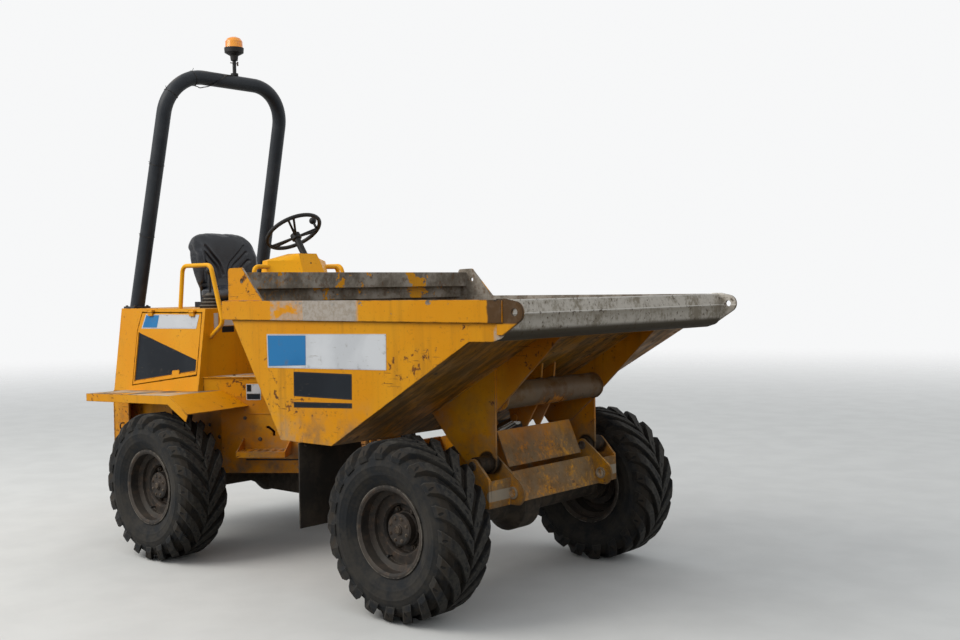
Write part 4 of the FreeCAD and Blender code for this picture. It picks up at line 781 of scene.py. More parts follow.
def roundedPath(corners, bend, spacing, arcPoints=13):
    # straight runs whose corners are turned by arcs of the bend radius
    corners = [np.array(p, float) for p in corners]
    line = [corners[0]]
    for back, corner, ahead in zip(corners, corners[1:], corners[2:]):
        a, b = unit(back - corner), unit(ahead - corner)
        half = math.acos(a @ b) / 2
        centre = corner + unit(a + b) * bend / math.sin(half)
        first = (corner + a * bend / math.tan(half) - centre) / bend
        for t in np.linspace(0, math.pi - 2 * half, arcPoints):
            line.append(centre + bend * (math.cos(t) * first - math.sin(t) * a))
    line.append(corners[-1])
    return spaced(line, spacing)


# the washer's two ends in metres and its width; then the head's height, where its chamfer starts and the width of
# its top. All but the two ends are times the head's radius
boltLook = {"washer": (-0.001, 0.0016, 1.35), "height": 0.88, "chamfer": 0.72, "top": 0.8, "steps": 20}


def boltForm(place, axis, size, number=0):
    # washer under a six-sided head with a chamfer; the size is the head's radius
    look = boltLook
    low, high, wide = look["washer"]
    washer = turnedForm(drum(low, high, size * wide), place, axis, look["steps"], number)
    head = [(0, 0), (0, size), (size * look["chamfer"], size), (size * look["height"], size * look["top"]),
            (size * look["height"], 0)]
    return [washer, turnedForm(head, place, axis, 6, number)]


weldLook = {"spacing": 0.0025, "steps": 7, "ripples": ((0.13, 2.1), (0.07, 0.43))}


def weldForm(path, radius, number=0):
    # bead whose radius swells and shrinks in small steps: 1 + the sum of height * sin(rate * ring number)
    steps = weldLook["steps"]
    points, faces, number = tubeForm(spaced(path, weldLook["spacing"]), radius, steps, number)
    count = (len(points) - 2) // steps
    swell = 1 + sum(height * np.sin(np.arange(count) * rate) for height, rate in weldLook["ripples"])
    rings = points[:-2].reshape(count, steps, 3)
    middle = rings.mean(axis=1, keepdims=True)
    points[:-2] = (middle + (rings - middle) * swell[:, None, None]).reshape(-1, 3)
    return points, faces, number


def roundedBox(half, power, steps):
    # outline |x / a|^power + |y / b|^power = 1 at equal angles, as x and y
    angle = turns(steps)
    c, s = np.cos(angle), np.sin(angle)
    reach = (np.abs(c / half[0]) ** power + np.abs(s / half[1]) ** power) ** (-1 / power)
    return reach * c, reach * s


def holedPlate(centre, across, up, size, hole, thick, number=0, steps=36):
    # flat plate with round corners and an oval hole; size and hole are half widths and half heights
    across, up = np.array(across, float), np.array(up, float)
    rings = []
    for half, power in ((size, 7), (hole, 3)):
        x, y = roundedBox(half, power, steps)
        rings.append(np.array(centre) + x[:, None] * across + y[:, None] * up)
    outer, inner = rings
    lift = np.cross(across, up) * thick
    points = np.concatenate([outer, outer + lift, inner + lift, inner])
    return points, gridFaces(4, steps, True, True), number


# Wheel trim: nuts, hub bolts, cap and valve on each wheel. Profiles are (distance along the axle, radius)

wheelFittings = {
    "nutCircle": 0.095, "nutCount": 6, "nutFace": -0.005,
    "nut": ((0, 0), (0, 0.0145), (0.0136, 0.0145), (0.016, 0.01189), (0.016, 0)),
    "boltCircle": 0.054, "boltCount": 8, "boltFace": 0.0538, "boltSize": 0.0068,
    "capFace": 0.0615, "cap": ((0, 0), (0, 0.0175), (0.003, 0.0175), (0.005, 0.014), (0.006, 0)),
    "valveAngle": -117, "valve": ((0.150, 0.022), (0.146, 0.052)), "valveRadius": 0.0045,
    "valveCap": ((0, 0), (0, 0.007), (0.012, 0.007), (0.013, 0.005), (0.013, 0))}


def wheelTrim(corner, centre):
    look = wheelFittings
    side = math.copysign(1, centre[1])
    axis = np.array((0, side, 0))
    centre = np.array(centre)

    def at(circle, degrees, out):
        # centre + circle * (cos, 0, sin), moved out along the axle
        a = math.radians(degrees)
        return centre + (circle * math.cos(a), side * out, circle * math.sin(a))
    parts = []
    for i in range(look["nutCount"]):
        place = at(look["nutCircle"], 360 / look["nutCount"] * i, look["nutFace"])
        parts.append(turnedForm(look["nut"], place, axis, 6))
    for i in range(look["boltCount"]):
        place = at(look["boltCircle"], 360 / look["boltCount"] * (i + 0.5), look["boltFace"])
        parts += boltForm(place, axis, look["boltSize"], 1)
    parts.append(turnedForm(look["cap"], at(0, 0, look["capFace"]), axis, 24, 1))
    valve = [at(circle, look["valveAngle"], out) for circle, out in look["valve"]]
    parts.append(tubeForm(spaced(valve, 0.004), look["valveRadius"], 10, 2))
    parts.append(turnedForm(look["valveCap"], valve[1], axis, 12, 2))
    addPiece("wheelTrim_" + corner, parts, ["boltSteel", "boltSteel", "blackPlastic"], "wheel_" + corner,
             25)


for corner, centre in wheelCentres.items():
    wheelTrim(corner, centre)
print("stage: wheel trim")


# Seat pads: foam blown up as cloth, then pressed in along the channels. Pairs of places fade in from the first to
# the second, "cap" is the greatest swelling, and "box" is what the swollen pad is scaled back to along each axis

padCloth = {"merge": 1e-5, "pressure": 4, "quality": 5, "frames": 20, "calmFactor": 0.5}
seatBackLook = {
    "outline": ((0.0, 1.470), (0.110, 1.470), (0.160, 1.478), (0.200, 1.540), (0.226, 1.620), (0.240, 1.705),
                (0.236, 1.780), (0.215, 1.840), (0.165, 1.872), (0.080, 1.885), (0.0, 1.888)),
    "front": ((1.470, -1.392), (1.560, -1.383), (1.725, -1.404), (1.868, -1.434), (1.900, -1.442)),
    "rear": ((1.470, -1.412), (1.762, -1.4820), (1.775, -1.500), (1.900, -1.504)),
    "middle": (0.0, 1.69), "levels": (0.0, 0.25, 0.5, 0.7, 0.82, 0.9, 0.96, 1.0), "points": 96, "softened": 4,
    "inset": 0.009, "rearInset": 0.0036, "thinnest": 0.008, "bulge": 8, "voxel": 0.006, "cap": 0.018, "calm": 14,
    "channels": (((0.150, 1.806), (0.098, 1.748), (0.040, 1.694), (0.018, 1.625)),
                 ((0.160, 1.764), (0.108, 1.712), (0.055, 1.668), (0.044, 1.598)),
                 ((0.168, 1.712), (0.120, 1.664), (0.084, 1.628), (0.074, 1.575))),
    "channelWidth": 0.0075, "channelDepth": 0.0065, "facing": (0.15, 0.6), "foot": (1.50, 1.60),
    "hollow": 0.026, "hollowAcross": (0.19, 0.06), "hollowTop": (1.885, 1.66),
    "wing": 0.046, "wingAcross": (0.15, 0.21), "wingFacing": (0.0, 0.5), "wingTop": (1.885, 1.74),
    "seam": 0.0022, "seamFacing": -0.25, "seamFade": (0.12, 0.0),
    "restHalf": 0.152, "restTop": 1.765, "restGap": 0.0004, "footTop": 1.57, "footFront": -1.3795,
    "box": ((None, None), (-0.240, 0.240), (1.470, 1.889))}
cushionLook = {
    "x": (-1.376, -1.010), "half": 0.233, "z": (1.4505, 1.545), "inset": 0.010, "riseInset": 0.009,
    "levels": (0.0, 0.4, 0.7, 0.88, 0.96, 1.0), "points": 96, "corners": 7, "drop": 0.35, "dropPower": 10,
    "voxel": 0.006, "cap": 0.024, "calm": 10,
    "seams": (((-1.352, 0.148), (-1.045, 0.148)), ((-1.045, -0.148), (-1.045, 0.148)),
              ((-1.15, -0.148), (-1.15, 0.148)), ((-1.25, -0.148), (-1.25, 0.148))),
    "seamWidth": 0.006, "seamDepth": 0.006, "facing": (0.15, 0.6),
    "hollow": 0.012, "hollowAcross": (0.17, 0.10), "hollowFront": (-1.01, -1.07),
    "piping": 0.0016, "pipingFacing": 0.35, "pipingFade": (0.10, 0.0), "rearGap": 0.001,
    "box": ((-1.377, -1.010), (-0.235, 0.235), (1.4505, 1.553))}


def appliedMesh(piece):
    # the piece's mesh with its modifiers worked in and taken off
    graph = bpy.context.evaluated_depsgraph_get()
    done = bpy.data.meshes.new_from_object(piece.evaluated_get(graph))
    piece.modifiers.clear()
    piece.data = done


def threes(items, key):
    # three numbers of each item, as rows
    values = np.empty(len(items) * 3, np.float32)
    items.foreach_get(key, values)
    return values.reshape(-1, 3).astype(float)


def setPoints(mesh, points):
    mesh.vertices.foreach_set("co", points.ravel())
    mesh.update()


def swollen(piece, look):
    # inner pressure swells the pad; each point's move is held down to cap * tanh(move / cap)
    start = threes(piece.data.vertices, "co")
    cloth = piece.modifiers.new("blow", "CLOTH")
    cloth.settings.use_pressure = True
    cloth.settings.uniform_pressure_force = padCloth["pressure"]
    cloth.settings.effector_weights.gravity = 0
    cloth.settings.quality = padCloth["quality"]
    for frameNumber in range(1, padCloth["frames"] + 1):
        bpy.context.scene.frame_set(frameNumber)
    appliedMesh(piece)
    bpy.context.scene.frame_set(1)
    move = threes(piece.data.vertices, "co") - start
    length = np.linalg.norm(move, axis=1)
    limit = look["cap"] * np.tanh(length / look["cap"])
    setPoints(piece.data, start + move * (limit / np.maximum(length, 1e-9))[:, None])


def blownPad(name, layers, look):
    # closed pad remeshed evenly, swollen, calmed, scaled back to its box and made finer
    faces = gridFaces(len(layers), look["points"], False, True).tolist()
    piece = placed(name, closedMesh(name, np.concatenate(layers), faces, padCloth["merge"]))
    remesh = piece.modifiers.new("even", "REMESH")
    remesh.mode = "VOXEL"
    remesh.voxel_size = look["voxel"]
    appliedMesh(piece)
    swollen(piece, look)
    calm = piece.modifiers.new("calm", "SMOOTH")
    calm.factor = padCloth["calmFactor"]
    calm.iterations = look["calm"]
    appliedMesh(piece)
    points = threes(piece.data.vertices, "co")
    for axis, (low, high) in enumerate(look["box"]):
        if low is not None:
            least, most = points[:, axis].min(), points[:, axis].max()
            points[:, axis] = low + (points[:, axis] - least) * (high - low) / (most - least)
    setPoints(piece.data, points)
    finer = piece.modifiers.new("finer", "SUBSURF")
    finer.levels = finer.render_levels = 1
    appliedMesh(piece)
    return piece


def finishPad(piece, points, node):
    # the pressed points go in, and the pad stands for the CAD's node
    setPoints(piece.data, points)
    piece.data.shade_smooth()
    dress(piece, finishes["vinyl"])
    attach(piece, "rear")
    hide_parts(node)


lipLook = {"height": 0.22, "place": 2.1}


def pressedBy(flat, lines, width, depth):
    # how far each point of a flat picture is pressed in: depth * exp(-(gap / width)^2), less a small raised lip
    gap = np.full(len(flat), np.inf)
    for line in lines:
        line = np.array(line, float)
        for a, b in zip(line, line[1:]):
            along = np.clip(((flat - a) @ (b - a)) / ((b - a) @ (b - a)), 0, 1)
            gap = np.minimum(gap, np.linalg.norm(flat - a - along[:, None] * (b - a), axis=1))
    lip = lipLook["height"] * depth * np.exp(-((gap - lipLook["place"] * width) / width) ** 2)
    return depth * np.exp(-(gap / width) ** 2) - lip


def smoothStep(value, low, high):
    # 0 at low, 1 at high: t * t * (3 - 2 * t), where t = (value - low) / (high - low), kept from 0 to 1
    t = np.clip((value - low) / (high - low), 0, 1)
    return t * t * (3 - 2 * t)


def curved(line):
    # a few corner points turned into a smooth run by cutting the corners three times
    line = np.array(line, float)
    for turn in range(3):
        a, b = line[:-1], line[1:]
        line = np.concatenate([line[:1], np.stack([a * 0.75 + b * 0.25, a * 0.25 + b * 0.75], 1).reshape(-1, 2),
                               line[-1:]])
    return line


def seatBack(look):
    # layers shrink from the rim to the middle, in front and behind: x = centre + or - thick * sqrt(1 - level^8);
    # then facing points move back by the hollow and the channels, and the wings move forward
    half = np.array(look["outline"])
    rim = np.concatenate([half, (half * (-1, 1))[::-1][1:-1]])
    closed = np.concatenate([rim, rim[:1]])
    run = runAlong(closed)
    steps = np.linspace(0, run[-1], look["points"], endpoint=False)
    rim = np.stack([np.interp(steps, run, closed[:, i]) for i in (0, 1)], 1)
    middle = np.array(look["middle"])
    for turn in range(look["softened"]):
        rim = (np.roll(rim, 1, 0) + 2 * rim + np.roll(rim, -1, 0)) / 4
    shrink = 1 - look["inset"] / np.linalg.norm(rim - middle, axis=1)
    rim = middle + (rim - middle) * shrink[:, None]
    layers = []
    for way, levels in ((1, look["levels"]), (-1, look["levels"][::-1])):
        for level in levels:
            flat = middle + (rim - middle) * level
            front = np.interp(flat[:, 1], *np.array(look["front"]).T) - look["inset"]
            rear = np.interp(flat[:, 1], *np.array(look["rear"]).T) + look["rearInset"]
            thick = np.maximum((front - rear) / 2, look["thinnest"])
            x = (front + rear) / 2 + way * thick * math.sqrt(1 - level ** look["bulge"])
            layers.append(np.stack([x, flat[:, 0], flat[:, 1]], 1))
    piece = blownPad("seatBack", layers, look)
    points, normals = threes(piece.data.vertices, "co"), threes(piece.data.vertex_normals, "vector")
    y, z, nx = np.abs(points[:, 1]), points[:, 2], normals[:, 0]
    foot = smoothStep(z, *look["foot"])
    hollow = look["hollow"] * smoothStep(y, *look["hollowAcross"]) * foot * smoothStep(z, *look["hollowTop"])
    channels = [curved(line) for line in look["channels"]]
    press = pressedBy(np.stack([y, z], 1), channels, look["channelWidth"], look["channelDepth"])
    points[:, 0] -= smoothStep(nx, *look["facing"]) * (hollow + press)
    wings = smoothStep(y, *look["wingAcross"]) * foot * smoothStep(nx, *look["wingFacing"])
    points[:, 0] += wings * look["wing"] * smoothStep(z, *look["wingTop"])
    seam = smoothStep(np.abs(nx - look["seamFacing"]), *look["seamFade"])
    points -= normals * (seam * look["seam"])[:, None]
    # behind, the pad rests on its pan; its foot stays behind the cushion
    rest = np.interp(points[:, 2], *np.array(look["rear"]).T) + look["restGap"]
    resting = (y < look["restHalf"]) & (z < look["restTop"])
    points[:, 0] = np.where(resting, np.maximum(points[:, 0], rest), points[:, 0])
    points[:, 0] = np.where(z < look["footTop"], np.minimum(points[:, 0], look["footFront"]), points[:, 0])
    finishPad(piece, points, "seat_back")


def seatCushion(look):
    # layers shrink from the rim to the middle, above and below: z = centre + or - rise * (1 - drop * level^10);
    # then the top is pressed down by the hollow and the seams, and the piping stands out along its edge
    (x0, x1), (z0, z1) = look["x"], look["z"]
    middle = np.array(((x0 + x1) / 2, 0.0))
    size = np.array(((x1 - x0) / 2, look["half"])) - look["inset"]
    rim = np.stack(roundedBox(size, look["corners"], look["points"]), 1)
    rise = (z1 - z0) / 2 - look["riseInset"]
    layers = []
    for way, levels in ((1, look["levels"]), (-1, look["levels"][::-1])):
        for level in levels:
            flat = middle + rim * level
            z = (z0 + z1) / 2 + way * rise * (1 - look["drop"] * level ** look["dropPower"])
            layers.append(np.stack([flat[:, 0], flat[:, 1], np.full(len(flat), z)], 1))
    piece = blownPad("seatCushion", layers, look)
    points, normals = threes(piece.data.vertices, "co"), threes(piece.data.vertex_normals, "vector")
    x, y, nz = points[:, 0], np.abs(points[:, 1]), normals[:, 2]
    facing = smoothStep(nz, *look["facing"])
    inside = smoothStep(y, *look["hollowAcross"]) * smoothStep(x, *look["hollowFront"])
    press = pressedBy(np.stack([x, y], 1), look["seams"], look["seamWidth"], look["seamDepth"])
    points[:, 2] -= facing * (look["hollow"] * inside + press)
    piping = smoothStep(np.abs(nz - look["pipingFacing"]), *look["pipingFade"])
    points += normals * (piping * look["piping"])[:, None]
    points[:, 2] = np.maximum(points[:, 2], z0)
    points[:, 0] = np.maximum(points[:, 0], x0 - look["rearGap"])
    finishPad(piece, points, "seat_cushion")


seatBack(seatBackLook)
seatCushion(cushionLook)
print("stage: seat")


# Hoop fittings: the beacon's cable with its ties, the wing nut, and the foot bolts.
# "around" and "slack" are the cable's angle and its gap from the hoop, at distances along it

hoopLook = {
    "foot": (-1.692, 0.472, 1.423), "lean": 0.252, "topHalf": 0.440, "top": 2.850, "radius": 0.0445,
    "bend": 0.250, "base": 1.415, "beacon": 0.046, "cable": 0.003, "cableStart": 0.035, "cableEnd": 3,
    "around": ((0.0, 20), (0.08, 30), (0.16, 95), (0.22, 170), (0.32, 195), (0.60, 225), (1.9, 230)),
    "slack": ((0.0, 0.0), (0.20, 0.001), (0.26, 0.016), (0.31, 0.0), (1.9, 0.0)),
    "ties": (0.315, 0.50, 0.95, 1.40), "tie": 0.0021, "tieGap": 0.0012, "tieRise": 0.0062, "tieWidth": 0.14,
    "tail": 0.0016, "tailOut": (0.0, 0.015), "tailDown": (0.004, 0.016),
    "nut": 0.123, "nutReach": 0.030, "nutBolt": 0.0032, "wing": (0.026, 0.008), "wingSize": (0.002, 0.006),
    "boltAlong": 0.045, "boltAcross": 0.044, "boltFace": 1.427, "boltSize": 0.0085}


def hoopTrim(look):
    # cable point = hoop point + reach * (cos * outwards + sin * forwards)
    def at(y, z):
        return (look["foot"][0] + look["lean"] * (z - look["base"]), y, z)
    path = roundedPath([at(look["beacon"], look["top"]), at(-look["topHalf"], look["top"]),
                        at(-look["foot"][1], look["foot"][2])], look["bend"], 0.004)
    forwards = unit(np.array((1.0, 0.0, -look["lean"])))
    along = unit(np.gradient(path, axis=0))
    outwards = np.cross(along, forwards)
    outwards *= np.sign(outwards[0, 2])
    run = runAlong(path)
    angle = np.radians(np.interp(run, *np.array(look["around"]).T))
    reach = look["radius"] + look["cable"] + np.interp(run, *np.array(look["slack"]).T)
    cable = path + reach[:, None] * (np.cos(angle)[:, None] * outwards + np.sin(angle)[:, None] * forwards)
    parts = [tubeForm(cable[run > look["cableStart"]][:-look["cableEnd"]], look["cable"], 8)]
    # a tie is a ring that rises over the cable by rise * exp(-(angle / width)^2), with a short tail
    for place in look["ties"]:
        i = int(np.argmin(abs(run - place)))
        turn = np.linspace(0, 2 * np.pi, 49)
        gap = np.arctan2(np.sin(turn - angle[i]), np.cos(turn - angle[i]))
        ring = look["radius"] + look["tieGap"] + look["tieRise"] * np.exp(-(gap / look["tieWidth"]) ** 2)
        loop = path[i] + ring[:, None] * (np.cos(turn)[:, None] * outwards[i] + np.sin(turn)[:, None] * forwards)
        parts.append(tubeForm(loop, look["tie"], 6))
        tail = [path[i] + outwards[i] * (look["radius"] + out) - along[i] * down
                for out, down in zip(look["tailOut"], look["tailDown"])]
        parts.append(tubeForm(spaced(tail, 0.003), look["tail"], 6))
    bolt = np.array(at(look["beacon"], look["top"])) + (0, 0, look["nut"])
    ends = [bolt - (0, look["nutReach"], 0), bolt + (0, look["nutReach"], 0)]
    parts.append(tubeForm(spaced(ends, 0.01), look["nutBolt"], 8, 1))
    out, rise = look["wing"]
    half, radius = look["wingSize"]
    for way in (-1, 1):
        parts.append(turnedForm(drum(-half, half, radius), bolt + (0, out, way * rise), (1, 0, 0), 12, 1))
    addPiece("hoopTrim", parts, ["blackPlastic", "pinSteel"], "rear")
    feet = []
    for side in (-1, 1):
        for dx in (-look["boltAlong"], look["boltAlong"]):
            for dy in (-look["boltAcross"], look["boltAcross"]):
                place = (look["foot"][0] + dx, side * look["foot"][1] + dy, look["boltFace"])
                feet += boltForm(place, (0, 0, 1), look["boltSize"])
    addPiece("hoopBolts", feet, ["boltSteel"], "rear", 25)


hoopTrim(hoopLook)
print("stage: hoop trim")


# Tapered chassis wall: plates, lines, bolts and step bars; the low black line is a painted shadow under a plate
# edge. Places are (distance along the wall from its rear corner, z). A bar is from and to along the wall, from and
# to in z, thickness, finish number and rounding

wallLook = {
    "start": (-0.790, -0.506), "end": (-0.420, -0.238),
    "bars": ((0.152, 0.238, 0.885, 0.978, 0.0010, 0, 0.004), (0.156, 0.234, 0.889, 0.921, 0.0014, 1, 0.002),
             (0.156, 0.182, 0.934, 0.974, 0.0014, 1, 0.002), (0.159, 0.303, 0.8028, 0.8072, 0.0022, 2, 0.001),
             # the last bar is a black strip painted as the shadow line under the plate edge above it
             (0.142, 0.450, 0.536, 0.544, 0.0012, 1, 0.001)),
    "bolts": ((0.141, 0.781, 0.008), (0.228, 0.659, 0.009), (0.060, 0.861, 0.006), (0.400, 0.861, 0.006)),
    "step": (0.150, 0.392, 0.6056), "stepBars": (0.0645, 0.0925), "stepBarWidth": 0.005, "stepBarThick": 0.0006}


def wallTrim(look, side, name):
    start = np.array(look["start"])
    direction = unit(np.array(look["end"]) - start)

    def at(run, z, lift=0.0):
        # (x, y) = start + run * direction + lift * outward direction, mirrored for the left
        x, y = start + direction * run + np.array((direction[1], -direction[0])) * lift
        return (x, -side * y, z)
    out = (direction[1], side * direction[0], 0)
    parts = []
    for run0, run1, z0, z1, thick, number, rounding in look["bars"]:
        corners = [at(run0, z0), at(run1, z0), at(run1, z1), at(run0, z1)]
        parts.append(slabForm(corners, out, thick, number, rounding))
    for run, z, size in look["bolts"]:
        parts += boltForm(at(run, z), out, size, 3)
    # two bars along the step close its slots into a grid
    run0, run1, z = look["step"]
    for near in look["stepBars"]:
        far = near + look["stepBarWidth"]
        corners = [at(run0, z, near), at(run1, z, near), at(run1, z, far), at(run0, z, far)]
        parts.append(slabForm(corners, (0, 0, 1), look["stepBarThick"], 2, 0.001))
    addPiece("wallTrim_" + name, parts, ["whiteSign", "blackSignAndShadow", "chassisPaint", "boltSteel"], "rear",
             30)


for side, name in sides:
    wallTrim(wallLook, side, name)


# Bolts: each row is the body, the place, the outward direction and the head's radius

boltRows = [
    ("rear", (-0.807, -0.506, 0.671), (0, -1, 0), 0.009), ("rear", (-0.90, -0.506, 0.735), (0, -1, 0), 0.008),
    ("rear", (-1.03, -0.506, 0.735), (0, -1, 0), 0.008), ("rear", (-1.690, -0.603, 0.860), (0, -1, 0), 0.008),
    ("rear", (-1.690, -0.603, 0.560), (0, -1, 0), 0.008), ("rear", (-0.36, -0.200, 1.020), (0, 0, 1), 0.007),
    ("rear", (-0.80, -0.40, 1.020), (0, 0, 1), 0.007), ("rear", (-0.55, -0.27, 1.020), (0, 0, 1), 0.007),
    ("rear", (-1.760, -0.375, 0.985), (-1, 0, 0), 0.007), ("rear", (-1.760, -0.375, 1.320), (-1, 0, 0), 0.007),
    ("rear", (-1.180, -0.850, 0.918), (0, 0, 1), 0.007), ("rear", (-0.900, -0.850, 0.930), (0, 0, 1), 0.007),
    ("front", (0.352, -0.84, 0.757), (1, 0, 0), 0.007), ("front", (0.352, -0.72, 0.757), (1, 0, 0), 0.007),
    ("front", (0.352, -0.60, 0.757), (1, 0, 0), 0.007), ("front", (0.352, -0.50, 0.757), (1, 0, 0), 0.007),
    ("front", (1.045, -0.516, 0.560), (0, -1, 0), 0.009), ("front", (1.045, -0.516, 0.620), (0, -1, 0), 0.009),
    ("front", (0.90, -0.362, 0.540), (0, -1, 0), 0.010), ("front", (1.03, -0.362, 0.540), (0, -1, 0), 0.010)]


def grouped(rows, form):
    # parts by body: the form of each row, made on the right and mirrored to the left
    sets = {}
    for body, *row in rows:
        for side in (1, -1):
            sets.setdefault(body, []).extend(form(np.array((1, side, 1)), *row))
    return sets


def mirroredBolt(turn, place, axis, size):
    return boltForm(np.array(place) * turn, np.array(axis) * turn, size)


for body, parts in grouped(boltRows, mirroredBolt).items():
    addPiece("bolts_" + body, parts, ["boltSteel"], body, 25)


# Small brackets beside the skip and hooks on the rear cheek. A bracket is its x and z, half size and half hole

bracketLook = {"y": 0.402, "thick": 0.008, "rows": ((0.500, 0.742, (0.034, 0.044), (0.010, 0.018)),
                                                    (0.350, 0.726, (0.030, 0.036), (0.009, 0.009)))}
hookLook = {"path": ((-1.660, 0.600, 0.705), (-1.660, 0.630, 0.705), (-1.660, 0.630, 0.668),
                     (-1.660, 0.612, 0.668)), "bend": 0.012, "spacing": 0.003, "radius": 0.0045}


def brackets(look, hook):
    front = []
    rear = []
    for side in (-1, 1):
        for x, z, size, hole in look["rows"]:
            place = (x, side * look["y"], z)
            front.append(holedPlate(place, (-side, 0, 0), (0, 0, 1), size, hole, look["thick"]))
        path = roundedPath(np.array(hook["path"]) * (1, side, 1), hook["bend"], hook["spacing"])
        rear.append(tubeForm(path, hook["radius"], 8))
    addPiece("brackets", front, ["chassisPaint"], "front", 30)
    addPiece("cheekHooks", rear, ["boltSteel"], "rear")


brackets(bracketLook, hookLook)
print("stage: bolts and brackets")


# Weld beads: each row is the body, the bead's radius and the joint's points on the right

def around(x, y, z, radius, first, last):
    # arc about the line along Y through (x, z): (x + radius * cos, y, z + radius * sin), in degrees
    return [(x + radius * math.cos(math.radians(a)), y, z + radius * math.sin(math.radians(a)))
            for a in np.linspace(first, last, 25)]


floorLow, floorHigh, floorGap = (0.5885, 0.7745), (1.4675, 1.2865), 0.001
floorRise = (floorHigh[1] - floorLow[1]) / (floorHigh[0] - floorLow[0])


def floorAt(x, y):
    # point just under the skip's sloping floor: z = low z + (x - low x) * rise - gap
    return (x, y, floorLow[1] + (x - floorLow[0]) * floorRise - floorGap)


weldRows = [
    ("skip", 0.005, [floorAt(0.803, -0.4065), floorAt(1.204, -0.4065)]),
    ("skip", 0.005, [floorAt(1.2055, -0.4065), floorAt(1.2055, -0.3940)]),
    ("skip", 0.005, [floorAt(0.845, -0.3815), floorAt(1.46, -0.3815)]),
    ("skip", 0.005, around(1.205, -0.3815, 1.000, 0.0645, -200, 20)),
    ("skip", 0.004, around(1.205, -0.0575, 1.000, 0.0645, -150, -30)),
    ("skip", 0.004, [(1.66, -0.8795, 1.318), (1.66, -0.8795, 1.366)]),
    ("skip", 0.004, [(1.6605, -0.8900, 1.370), (1.6605, -0.8900, 1.462)]),
    ("skip", 0.004, [(-0.175, -0.8905, 1.4642), (0.100, -0.8905, 1.4642)]),
    ("front", 0.005, [(1.1215, -0.349, 0.5045), (1.246, -0.349, 0.5045), (1.207, -0.349, 0.632)]),
    ("front", 0.005, [(1.002, -0.5000, 0.5045), (1.246, -0.5000, 0.5045)]),
    ("front", 0.005, [(0.1435, -0.362, 0.484), (0.1435, -0.362, 0.648)]),
    ("front", 0.005, [(0.430, -0.3625, 0.7005), (0.510, -0.3625, 0.7005)]),
    ("front", 0.0045, around(1.271, -0.3625, 0.550, 0.0275, 0, 360)),
    ("rear", 0.005, [(-1.758, -0.5065, 0.505), (-1.758, -0.5065, 0.898)]),
    ("rear", 0.005, [(-1.7695, -0.6020, 0.510), (-1.7695, -0.6020, 0.900)]),
    ("rear", 0.004, [(-1.60, -0.5070, 0.8985), (-0.88, -0.5070, 0.8985)]),
    ("rear", 0.004, [(-0.620, -0.181, 1.0205), (-0.560, -0.181, 1.0205), (-0.450, -0.091, 1.0205)]),
    ("rear", 0.004, [(-0.4496, -0.091, 1.0205), (-0.4496, 0.0, 1.0205)])]
weldFinish = {"skip": "legPaint", "front": "chassisPaint", "rear": "chassisPaint"}


def mirroredWeld(turn, radius, path):
    return [weldForm(np.array(path) * turn, radius)]


for body, parts in grouped(weldRows, mirroredWeld).items():
    addPiece("welds_" + body, parts, [weldFinish[body]], body, 50)
print("stage: weld beads")


# Instrument panel on the cowl: blank dials as (y, radius) and a switch, facing the seat

panelLook = {"place": (-0.7405, 0.0, 1.612), "half": (0.150, 0.046), "thick": 0.003, "rounding": 0.012,
             "dials": ((-0.085, 0.030), (0.0, 0.034), (0.085, 0.030)), "foot": 0.001, "rim": (0.010, 0.011, 0.004),
             "well": (0.007, 0.005), "face": (0.006, 0.0078, 0.006), "switchPlace": (0, 0.132, -0.022),
             "switch": ((0, 0), (0, 0.011), (0.012, 0.010), (0.012, 0))}


def instruments(look):
    # a dial is a rim with a bevel round a sunk white face; the values after the heights narrow its radius
    place = np.array(look["place"])
    back = np.array((-1.0, 0.0, 0.0))
    y, z = look["half"]
    corners = [place + (0, a, b) for a, b in ((-y, -z), (y, -z), (y, z), (-y, z))]
    parts = [slabForm(corners, back, look["thick"], 0, look["rounding"])]
    full, top, bevel = look["rim"]
    well, wall = look["well"]
    low, high, inner = look["face"]
    for y, radius in look["dials"]:
        centre = place + (0, y, 0)
        rim = [(look["foot"], 0), (look["foot"], radius), (full, radius), (top, radius - bevel),
               (well, radius - wall), (well, 0)]
        parts.append(turnedForm(rim, centre, back, 32, 0))
        parts.append(turnedForm(drum(low, high, radius - inner), centre, back, 28, 1))
    parts.append(turnedForm(look["switch"], place + look["switchPlace"], back, 16, 2))
    addPiece("instruments", parts, ["blackPlastic", "whiteSign", "pinSteel"], "rear", 30)


instruments(panelLook)
print("stage: instruments")


# Stage: pale floor that fades into a white surround, soft sky that is dimmer from below, and one broad lamp

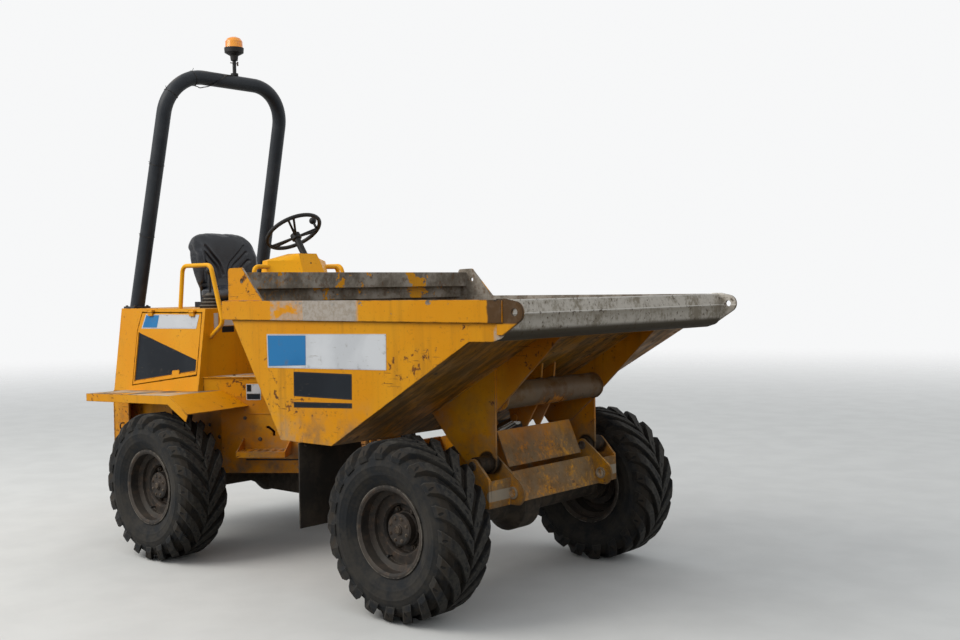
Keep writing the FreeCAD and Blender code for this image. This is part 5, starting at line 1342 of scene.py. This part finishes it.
studio = {
    "floor": (0.62, 0.62, 0.60), "floorPale": (0.6572, 0.6572, 0.636), "bounce": (0.10, 0.10, 0.085), "half": 30.0,
    "fade": (6.0, 22.0), "sky": 0.80, "above": (0.93, 0.96, 1.0), "below": (0.10, 0.11, 0.07),
    "horizon": (-0.05, 0.12), "seen": (0.93, 0.935, 0.94), "lamp": 520, "lampColour": (1.0, 0.97, 0.92),
    "lampPlace": (-3.5, -6.5, 6.5), "lampSize": 6.0, "lampAim": (0, 0, 0.8)}


def addFloor(look):
    s = Shader("floorFinish")
    centre = s.add("VectorMath", {0: s.place}, out="Value", operation="LENGTH")
    colour = s.mixed(s.band(s.noise(s.place, 3, 5), 0.3, 0.7), look["floor"], look["floorPale"])
    matt = s.add("BsdfDiffuse", {"Color": s.mixed(s.seenRays(), look["bounce"], colour)})
    material = s.close(s.add("MixShader", {0: s.band(centre, *look["fade"]), 1: matt, 2: s.add("BsdfTransparent")}))
    mesh = bpy.data.meshes.new("floor")
    r = look["half"]
    mesh.from_pydata([(-r, -r, 0), (r, -r, 0), (r, r, 0), (-r, r, 0)], [], [(0, 1, 2, 3)])
    mesh.materials.append(material)
    floor = placed("floor", mesh)


def addSurround(look):
    # the sky lights the scene; camera, glossy and clear rays see a plain pale surround
    world = bpy.data.worlds.new("surround")
    bpy.context.scene.world = world
    world.use_nodes = True
    s = NodeTree(world.node_tree)
    low, high = look["horizon"]
    rise = s.axes(s.add("TexCoord", out="Generated"))[2]
    rise = s.add("MapRange", {"Value": rise, "From Min": low, "From Max": high})
    sky = s.add("Background", {"Color": s.mixed(rise, look["below"], look["above"]), "Strength": look["sky"]})
    seen = s.add("Background", {"Color": look["seen"], "Strength": 1.0})
    s.add("OutputWorld", {"Surface": s.add("MixShader", {0: s.seenRays(), 1: sky, 2: seen})})


def addLamp(look):
    lamp = bpy.data.lights.new("broadLamp", "AREA")
    lamp.energy = look["lamp"]
    lamp.size = look["lampSize"]
    lamp.color = look["lampColour"]
    holder = placed("broadLamp", lamp)
    holder.location = look["lampPlace"]
    aim = Vector(look["lampAim"]) - Vector(look["lampPlace"])
    holder.rotation_euler = aim.to_track_quat("-Z", "Y").to_euler()


addFloor(studio)
addSurround(studio)
addLamp(studio)
